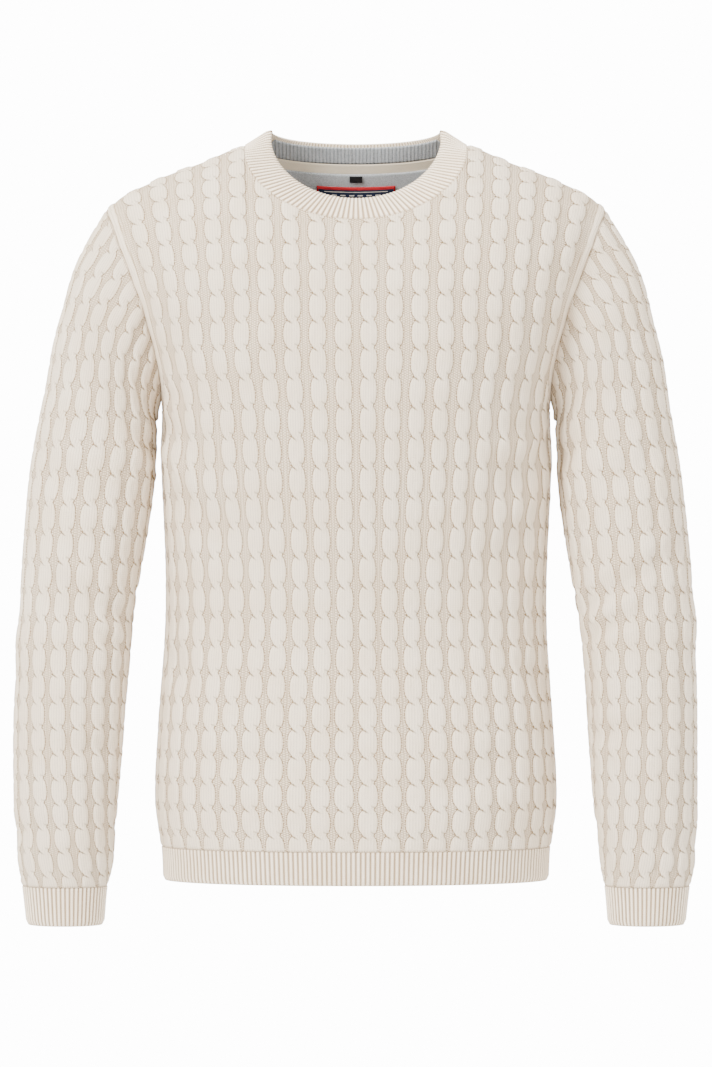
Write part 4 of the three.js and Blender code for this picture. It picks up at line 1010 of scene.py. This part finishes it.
def make_stitches():
    """Rows of V stitches, and of purl bumps, from a count of wales across and courses along."""
    inputs = [(label, "Float") for label in ("Wale", "Course", "Slant")]
    group, given, out = shader_group("stitches", inputs, "Plain", "Purl", "Gap")
    wale, course, slant = (Value(group, given.outputs[k]) for k in range(3))
    across = wale.math("FRACT") - 0.5
    leg = across.math("ABSOLUTE")
    tilt = course - leg * slant
    turn = (tilt.math("FRACT") - 0.5).math("ABSOLUTE") * 2.0
    body = (1.0 - turn * turn * 0.7) * (1.0 - (leg - 0.25).math("ABSOLUTE") * 2.6)
    gap = leg.over(0.22, 0.5) * (turn * 0.4 + 0.6) + leg.over(0.09, 0.0) * turn * 0.5
    brick = course * PURL_COURSES + (wale.math("FLOOR") * 0.5)
    bead = ((brick.math("FRACT") - 0.5) * 2.0).math("ABSOLUTE")
    purl = (1.0 - bead * bead) * (1.0 - leg * leg * 3.2)
    send(group, out, Plain=body, Purl=purl, Gap=gap)
    return group


YARN_NOISES = [("Fibre", 2600.0, 3.0, 0.7), ("Shade", 34.0, 3.0, 0.5), ("Fleck", 900.0, 2.0, 0.65)]


def make_yarn():
    """Fibres, and slow changes in the shade of the yarn."""
    group, given, out = shader_group("yarn", [("Vector", "Vector")], "Fibre", "Shade", "Fleck")
    for label, scale, detail, rough in YARN_NOISES:
        feed(group, out.inputs[label], noise_value(group, scale, detail, rough, given.outputs[0]))
    return group


ROPE_MAP, STITCHES, YARN = make_rope_map(), make_stitches(), make_yarn()


# %% Build a material
def blend_colors(tree, share, first, second):
    """Mixes two colours, each given as three numbers or as a socket."""
    first, second = ((*color, 1) if isinstance(color, tuple) else color for color in (first, second))
    return add_node(tree, "ShaderNodeMix", {"Factor": share, 6: first, 7: second}, 2, data_type="RGBA")


class Paint:
    """A material with a Principled surface, and short ways to add nodes to it."""

    def __init__(self, name, roughness, sheen, fuzz_tint):
        self.material = bpy.data.materials.new(name)
        self.material.use_nodes = True
        self.tree = self.material.node_tree
        self.surface = self.tree.nodes["Principled BSDF"]
        looks = {"Roughness": roughness, "Specular IOR Level": 0.12, "Sheen Weight": sheen}
        looks.update({"Sheen Roughness": 0.55, "Sheen Tint": (*fuzz_tint, 1)})
        for key, value in looks.items():
            self.surface.inputs[key].default_value = value

    def attribute(self, name, output="Vector"):
        return add_node(self.tree, "ShaderNodeAttribute", {}, output, attribute_name=name)

    def number(self, name):
        return Value(self.tree, self.attribute(name, "Fac"))

    def place(self):
        return add_node(self.tree, "ShaderNodeTexCoord", {}, "Object")

    def group(self, group, **inputs):
        node = self.tree.nodes.new("ShaderNodeGroup")
        node.node_tree = group
        for key, value in inputs.items():
            feed(self.tree, node.inputs[key], value)
        return {socket.name: Value(self.tree, socket) for socket in node.outputs}

    def blend(self, share, first, second):
        return blend_colors(self.tree, share, first, second)

    def finish(self, color, height, depth):
        self.tree.links.new(color, self.surface.inputs["Base Color"])
        inputs = {"Strength": 1.0, "Distance": depth, "Height": height}
        bump = add_node(self.tree, "ShaderNodeBump", inputs)
        self.tree.links.new(bump, self.surface.inputs["Normal"])
        return self.material


def linear(red, green, blue):
    """A colour given as it looks on a screen, turned into the light that a renderer counts."""
    shares = (red / 255, green / 255, blue / 255)
    return tuple(((share + 0.055) / 1.055) ** 2.4 for share in shares)


# the last colour is the yarn in painted shadow, and also the yarn's own darker flecks
YARN_LIGHT, YARN_BODY, YARN_SHADOW_AND_FLECK = linear(253, 235, 209), linear(247, 227, 199), linear(140, 112, 76)
# how dark painted shade makes each part of the knit, 0 (the yarn) to 1 (the deep colour); FLECK_DARK is real
# flecks
VALLEY_DARK, NOTCH_DARK, EDGE_DARK, GAP_DARK, PURL_DARK = 0.2, 0.85, 1.05, 0.34, 0.62
SEAM_DARK, BAND_DARK, FLECK_DARK, GROOVE_DARK, RIB_GAP_DARK = 0.5, 0.4, 0.22, 0.68, 0.16
# how deep the bumps of the shader are beside a stitch, and the depth of a stitch in metres
NOTCH_DEEP, EDGE_DEEP, FIBRE_HIGH, STITCH_DEPTH = 1.4, 0.9, 0.35, 0.0011


def knit_material(name, cabled):
    """Cream cotton: cable knit where cabled, otherwise a rib."""
    paint = Paint(name, 0.92, 0.09, YARN_LIGHT)
    tree = paint.tree
    cable = paint.attribute("cable")
    column, row, _ = split(tree, cable)
    yarn = paint.group(YARN, Vector=paint.place())
    if cabled:
        ropes = paint.group(ROPE_MAP, Cable=cable, Band=paint.number("band"), Wide=paint.number("wide"))
        course = row * COURSES_A_ROW
        plain = paint.group(STITCHES, Wale=ropes["Wales"], Course=course, Slant=1.1)
        outside = paint.number("relief")
        valley = mix_values(1.0 - ropes["Valley"], ropes["Valley"], outside)
        notch, edge = ropes["Notch"] * outside, ropes["Edge"] * outside
        height = mix_values(plain["Plain"], plain["Purl"] * 0.9, valley)
        height = height - notch * NOTCH_DEEP - edge * EDGE_DEEP
        # painted shade: the purl valleys, the notch beside each crossing, the dotted rope edges and the gaps
        # between stitches
        dark = valley * VALLEY_DARK + notch * NOTCH_DARK + edge * EDGE_DARK
        dark = dark + plain["Gap"] * (1.0 - valley) * GAP_DARK
        dark = dark + (1.0 - plain["Purl"]).math("MAXIMUM", 0.0) * valley * PURL_DARK
        # painted shade: a dotted line of stitch holes beside each seam, and the sloping sides of the raised
        # armhole band
        stitch = ((column * WALES_A_ROPE).math("FRACT") - 0.5).bump(0.4)
        dark = dark + stitch * (paint.number("edge") - 1.0).bump(0.9) * SEAM_DARK
        dark = dark + (paint.number("band") - 0.4).bump(0.3) * BAND_DARK
    else:
        groove = ((column * (2 * math.pi)).math("COSINE") * -0.5 + 0.5).over(0.3, 1.0)
        plain = paint.group(STITCHES, Wale=column + 0.5, Course=row, Slant=0.9)
        height = mix_values(plain["Plain"], plain["Purl"] * 0.6, groove)
        # painted shade in the rib's sunken purl columns and in the gaps between its stitches
        dark = groove * GROOVE_DARK
        dark = dark + (plain["Gap"] * (1.0 - groove) + (1.0 - plain["Purl"]) * groove) * RIB_GAP_DARK
    dark = (dark + (yarn["Fleck"] - 0.5) * FLECK_DARK).math("MAXIMUM", 0.0).math("MINIMUM", 1.0)
    lit = paint.blend(yarn["Shade"].over(0.3, 0.7), YARN_BODY, YARN_LIGHT)
    color = paint.blend(dark, lit, YARN_SHADOW_AND_FLECK)
    return paint.finish(color, height + yarn["Fibre"] * FIBRE_HIGH, STITCH_DEPTH)


cream_knit = knit_material("cream cable knit", True)
cream_rib = knit_material("cream ribbing", False)
for thing in (front_panel, back_panel, left_sleeve, right_sleeve):
    raise_knit(thing, cable_tree, cream_knit, Rise=CABLE_RISE)
for thing in (hem, neckband, left_cuff, right_cuff):
    raise_knit(thing, rib_tree, cream_rib, Rise=RIB_RISE, Ground=RIB_TOP - RIB_RISE, Softness=0.12)
print("raised the knit on 8 pieces")

# %% [markdown]
# ## Inside the back neck
# Through the neck opening the inside of the back shows: a grey melange strip lines the band, a cream
# twill tape covers its seam, and a grey half moon of jersey backs the neck below. A woven label and a
# small size tab are sewn on it. Each is a thin piece laid on the cloth's inside.

# %% Inner pieces
LINING = {"half_u": 0.365, "low": 0.30, "high": 0.93, "lift": INSIDE - 1.1, "thickness": 0.9}
TAPE = {"half_u": 0.36, "foot": 3.2, "top": 0.285, "lift": INSIDE - 1.1, "thickness": 0.9}
FACING = {"half_u": 0.3, "depth": 80, "start": 2, "lift": INSIDE - 2.3, "thickness": 0.9}
LABEL = {"half_u": 0.14, "low": 63, "high": 16.5, "lift": INSIDE - 4.0, "thickness": 0.6}
TAB = {"half_u": 0.0235, "low": 10.8, "high": 3.4, "lift": INSIDE - 4.0, "thickness": 0.5}
HANG_DROP, LEAST_DEPTH = 24, 8


def back_neck_point(u, drop, lift):
    """A point inside the back, drop mm below the neck seam."""
    seam, seam_normal, _ = neck_seam(BACK, u)
    s = neck_height(BACK, u) - np.maximum(drop, HANG_DROP)
    cloth = torso_point(BACK, u, s) + torso_normal(BACK, u, s) * lift
    return mix(seam + seam_normal * lift, cloth, np.minimum(1, drop / HANG_DROP)[..., None])


def band_point(u, height, lift):
    """A point inside the neckband above a line u of the back panel."""
    lengths = lengths_of(NECK_LOW[BACK][0])
    part = np.interp(u, NECK_US, lengths / lengths[-1])
    ahead, behind = np.minimum(1, part + AT_STEP), np.maximum(0, part - AT_STEP)
    along = neck_low(BACK, ahead, 0) - neck_low(BACK, behind, 0)
    top = neck_top(BACK, part)
    top = top + lift * unit(-BACK * np.cross(along, top - neck_low(BACK, part, 0)))
    return mix(neck_low(BACK, part, lift), top, height[..., None])


def make_strip(name, surface, size, rows, lines):
    """A thin piece: surface(u, t, lift), where t runs from 0 at its low edge to 1 at its high one."""
    across = np.linspace(-1, 1, lines + 1)
    u, t = np.meshgrid(across * size["half_u"], np.linspace(0, 1, rows + 1))
    inner_face = surface(u, t, size["lift"] - size["thickness"])
    outer_face = surface(u, t, size["lift"])
    weave = np.stack([u * COLUMNS * CHEST_PITCH, t, 0 * u + 1], -1)
    values = {"weave": weave, "cable": weave}
    return make_shell(name, inner_face, unit(inner_face - outer_face), outer_face, values)


def lining_surface(u, t, lift):
    return band_point(u, mix(LINING["low"], LINING["high"], t), lift)


def tape_surface(u, t, lift):
    seam, seam_normal, _ = neck_seam(BACK, u)
    seam = seam + seam_normal * lift
    below = back_neck_point(u, np.full_like(u, TAPE["foot"]), lift)
    above = band_point(u, np.full_like(u, TAPE["top"]), lift)
    rise = t[..., None] * 2
    return np.where(rise < 1, mix(below, seam, rise), mix(seam, above, rise - 1))


def facing_surface(u, t, lift):
    share = u / FACING["half_u"]
    depth = np.maximum(LEAST_DEPTH, FACING["depth"] * np.sqrt(np.maximum(0, 1 - share**2)))
    return back_neck_point(u, FACING["start"] + (1 - t) * depth, lift)


def sewn_surface(size):
    return lambda u, t, lift: back_neck_point(u, mix(size["low"], size["high"], t), lift)


lining = make_strip("neckband_lining_jersey", lining_surface, LINING, 9, 96)
tape = make_strip("neck_tape_twill", tape_surface, TAPE, 12, 96)
facing = make_strip("back_neck_half_moon", facing_surface, FACING, 30, 72)
label = make_strip("woven_label", sewn_surface(LABEL), LABEL, 24, 40)
tab = make_strip("size_tab_woven", sewn_surface(TAB), TAB, 6, 6)


# %% [markdown]
# ## Grey jersey, twill and woven labels
# The grey is a melange: light and dark fibres spun together, so it is mottled at the size of a
# stitch. The tape is a twill with fine slanting lines. The label here is a plain design of its own in
# navy with a red edge and off-white lines, and it says nothing. The size tab is bare.

# %% Small materials
GREY_LIGHT, GREY_DEEP = linear(196, 198, 199), linear(138, 141, 143)
TAPE_LIGHT, TAPE_DEEP = linear(246, 232, 208), linear(206, 188, 158)
NAVY, NAVY_DEEP = linear(34, 42, 66), linear(18, 24, 42)
RED, OFF_WHITE = linear(176, 38, 44), linear(222, 216, 204)
BLACK, SOOT = linear(38, 37, 38), linear(20, 20, 21)


def jersey_material(name, ribs):
    """Grey melange, plain or with a fine rib of so many ridges a metre."""
    paint = Paint(name, 0.94, 0.12, GREY_LIGHT)
    place = paint.place()
    x, y, z = split(paint.tree, place)
    yarn = paint.group(YARN, Vector=place)
    stitches = paint.group(STITCHES, Wale=x * 720.0, Course=z * 900.0, Slant=1.0)
    stretch = {"X": x * 900.0, "Y": y * 900.0, "Z": z * 2600.0}
    stretched = add_node(paint.tree, "ShaderNodeCombineXYZ", stretch)
    mottle = noise_value(paint.tree, 1.0, 2.0, 0.6, stretched).over(0.36, 0.66)
    groove = ((x * (2 * math.pi * ribs)).math("COSINE") * 0.5 + 0.5).over(0.45, 1.0) * min(1, ribs)
    # the mottle is the melange's own colour; the gaps between stitches and the rib's grooves are painted
    # shade
    color = paint.blend(mottle * 0.7 + stitches["Gap"] * 0.3 + groove * 0.5, GREY_LIGHT, GREY_DEEP)
    return paint.finish(color, stitches["Plain"] + yarn["Fibre"] * 0.4 - groove * 1.5, 0.0005)


def tape_material():
    paint = Paint("cream twill tape", 0.85, 0.1, TAPE_LIGHT)
    place = paint.place()
    x, _, z = split(paint.tree, place)
    yarn = paint.group(YARN, Vector=place)
    rib = ((x * 700.0 + z * 900.0).math("FRACT") - 0.5).math("ABSOLUTE") * 2.0
    # the slanting grooves of the twill are darkened as painted shade; the flecks are the tape's own colour
    color = paint.blend((1.0 - rib) * 0.6 + (yarn["Fleck"] - 0.5) * 0.3, TAPE_LIGHT, TAPE_DEEP)
    return paint.finish(color, rib + yarn["Fibre"] * 0.3, 0.0004)


def woven_material(name, light, deep, striped):
    """A woven label: t of its weave attribute runs up it, and x across it in mm."""
    paint = Paint(name, 0.62, 0.05, light)
    x, t, _ = split(paint.tree, paint.attribute("weave"))
    yarn = paint.group(YARN, Vector=paint.place())
    thread_across = ((x * 3.2).math("FRACT") - 0.5).math("ABSOLUTE") * 2.0
    thread_up = ((t * 150.0).math("FRACT") - 0.5).math("ABSOLUTE") * 2.0
    weave = thread_across * 0.5 + thread_up * 0.5
    color = paint.blend(weave * 0.7 + (yarn["Fleck"] - 0.5) * 0.3, light, deep)
    if striped:
        dash = ((x * 0.125).math("FRACT") - 0.5).math("ABSOLUTE").over(0.30, 0.28)
        lines = (t - 0.79).bump(0.022) * dash
        for height in (0.875, 0.125, 0.5):
            lines = lines + (t - height).bump(0.016)
        short = lines * x.math("ABSOLUTE").over(29.2, 28.8)
        color = paint.blend(short.math("MINIMUM", 1.0), color, OFF_WHITE)
        edge = t.over(0.075, 0.07) + t.over(0.925, 0.93) + x.math("ABSOLUTE").over(34.2, 34.5)
        color = paint.blend(edge.math("MINIMUM", 1.0), color, RED)
    return paint.finish(color, weave, 0.0002)


jersey, ribbed_jersey = jersey_material("grey melange jersey", 0), jersey_material("grey melange rib", 290)
twill = tape_material()
label_weave = woven_material("navy label weave", NAVY, NAVY_DEEP, True)
tab_weave = woven_material("black tab weave", BLACK, SOOT, False)
strip_tree = lift_tree("puff the strips", lambda tree, given, cable: Value(tree, given.outputs["Ground"]))
strips = [(lining, ribbed_jersey), (tape, twill), (facing, jersey), (label, label_weave), (tab, tab_weave)]
for thing, material in strips:
    raise_knit(thing, strip_tree, material, Ground=0.0, Softness=0.12)

# %% [markdown]
# ## What each piece stands for
# Every piece rides with the garment's one body and stands in for a node of the imported model, which
# is hidden. The table also names a material slot and how each piece is held. The flat sizes are those
# of the cut pieces: a knitted panel's width is its count of ropes at their pitch, the lining's and the
# tape's follow the pieces as made, and the others are estimates. The last column is an area in square
# metres, for a cut that isn't a rectangle.

# %% Attach the pieces and hide the imported ones
PANEL_FLAT = (2 * COLUMNS * CHEST_PITCH * MM, 0.715)
SLEEVE_FLAT, CUFF_FLAT = (0.40, 0.64), (0.225, 0.036)
parts = [
    (front_panel, "front_panel", "cream_knit", "draped", PANEL_FLAT, 0.300),
    (back_panel, "back_panel", "cream_knit", "draped", PANEL_FLAT, 0.310),
    (left_sleeve, "left_sleeve", "cream_knit", "draped", SLEEVE_FLAT, 0.195),
    (right_sleeve, "right_sleeve", "cream_knit", "draped", SLEEVE_FLAT, 0.195),
    (hem, "hem_rib", "cream_rib", "stretched", (0.95, 0.032), None),
    (neckband, "neckband", "cream_rib", "stretched", (0.52, 0.029), None),
    (left_cuff, "left_cuff", "cream_rib", "stretched", CUFF_FLAT, None),
    (right_cuff, "right_cuff", "cream_rib", "stretched", CUFF_FLAT, None),
    (lining, "neckband_lining", "grey_knit", "folded", (0.245, 0.015), None),
    (tape, "neck_tape", "tape", "folded", (0.245, 0.010), None),
    (facing, "back_neck_facing", "grey_knit", "hung", (0.16, 0.075), 0.0095),
    (label, "neck_label", "label", "hung", (0.070, 0.045), None),
    (tab, "size_tab", "tab", "hung", (0.011, 0.010), 0.000081),
]
for thing, node, slot, held, flat, area in parts:
    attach(thing, "root")
    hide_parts(node)

# %% [markdown]
# ## The studio
# The garment floats filled out on white, as in a shop's photograph. The camera stands far off and
# level with the middle of the body, so the view is nearly flat. A broad soft light stands before the
# garment on the left, with weaker ones on the right and above. A pale floor lies below, out of the
# picture. The white of the world is strong only where the camera sees it.

# %% Studio
CAMERA_AWAY, CAMERA_HEIGHT, LENS = 5.0, -0.3585, 181.4
FLOOR_Z, FLOOR_HALF = -1.6, 7
SOFT_LIGHT, SEEN_WHITE = 2.45, 14.0


def add_area(name, place, aim, size, power):
    data = bpy.data.lights.new(name, "AREA")
    data.shape, data.size, data.size_y, data.energy = "RECTANGLE", size[0], size[1], power
    lamp = add_object(name, data)
    lamp.location = place
    lamp.rotation_euler = (Vector(aim) - Vector(place)).to_track_quat("-Z", "Y").to_euler()


def plain_material(name, color):
    material = bpy.data.materials.new(name)
    material.use_nodes = True
    tree = material.node_tree
    surface = tree.nodes["Principled BSDF"]
    surface.inputs["Roughness"].default_value = 0.95
    darker = tuple(value * 0.985 for value in color)
    tree.links.new(blend_colors(tree, noise_value(tree, 3.0), color, darker), surface.inputs["Base Color"])
    return material


floor_mesh = bpy.data.meshes.new("floor")
around = [(-1, -1), (1, -1), (1, 1), (-1, 1)]
floor_mesh.from_pydata([(x * FLOOR_HALF, y * FLOOR_HALF, FLOOR_Z) for x, y in around], [], [(0, 1, 2, 3)])
floor = add_object("floor", floor_mesh)
floor.data.materials.append(plain_material("pale floor", (0.86, 0.86, 0.86)))

world = bpy.data.worlds.new("studio")
bpy.context.scene.world = world
world.use_nodes = True
world.node_tree.nodes["Background"].inputs["Color"].default_value = (1, 1, 1, 1)
path = world.node_tree.nodes.new("ShaderNodeLightPath")
glow = Value(world.node_tree, path.outputs["Is Camera Ray"]) * (SEEN_WHITE - SOFT_LIGHT) + SOFT_LIGHT
feed(world.node_tree, world.node_tree.nodes["Background"].inputs["Strength"], glow)
add_area("front left light", (-2.4, -2.6, 1.9), (0, 0, -0.35), (1.3, 1.3), 400)
add_area("front right light", (2.4, -3.0, 0.6), (0, 0, -0.35), (1.6, 1.6), 60)
add_area("top light", (0.2, -0.4, 2.6), (0, 0, -0.3), (2.0, 1.4), 60)

camera_data = bpy.data.cameras.new("camera")
camera_data.lens, camera_data.sensor_width = LENS, 36
camera = add_object("camera", camera_data)
camera.location = (0, -CAMERA_AWAY, CAMERA_HEIGHT)
camera.rotation_euler = (math.pi / 2, 0, 0)
bpy.context.scene.camera = camera
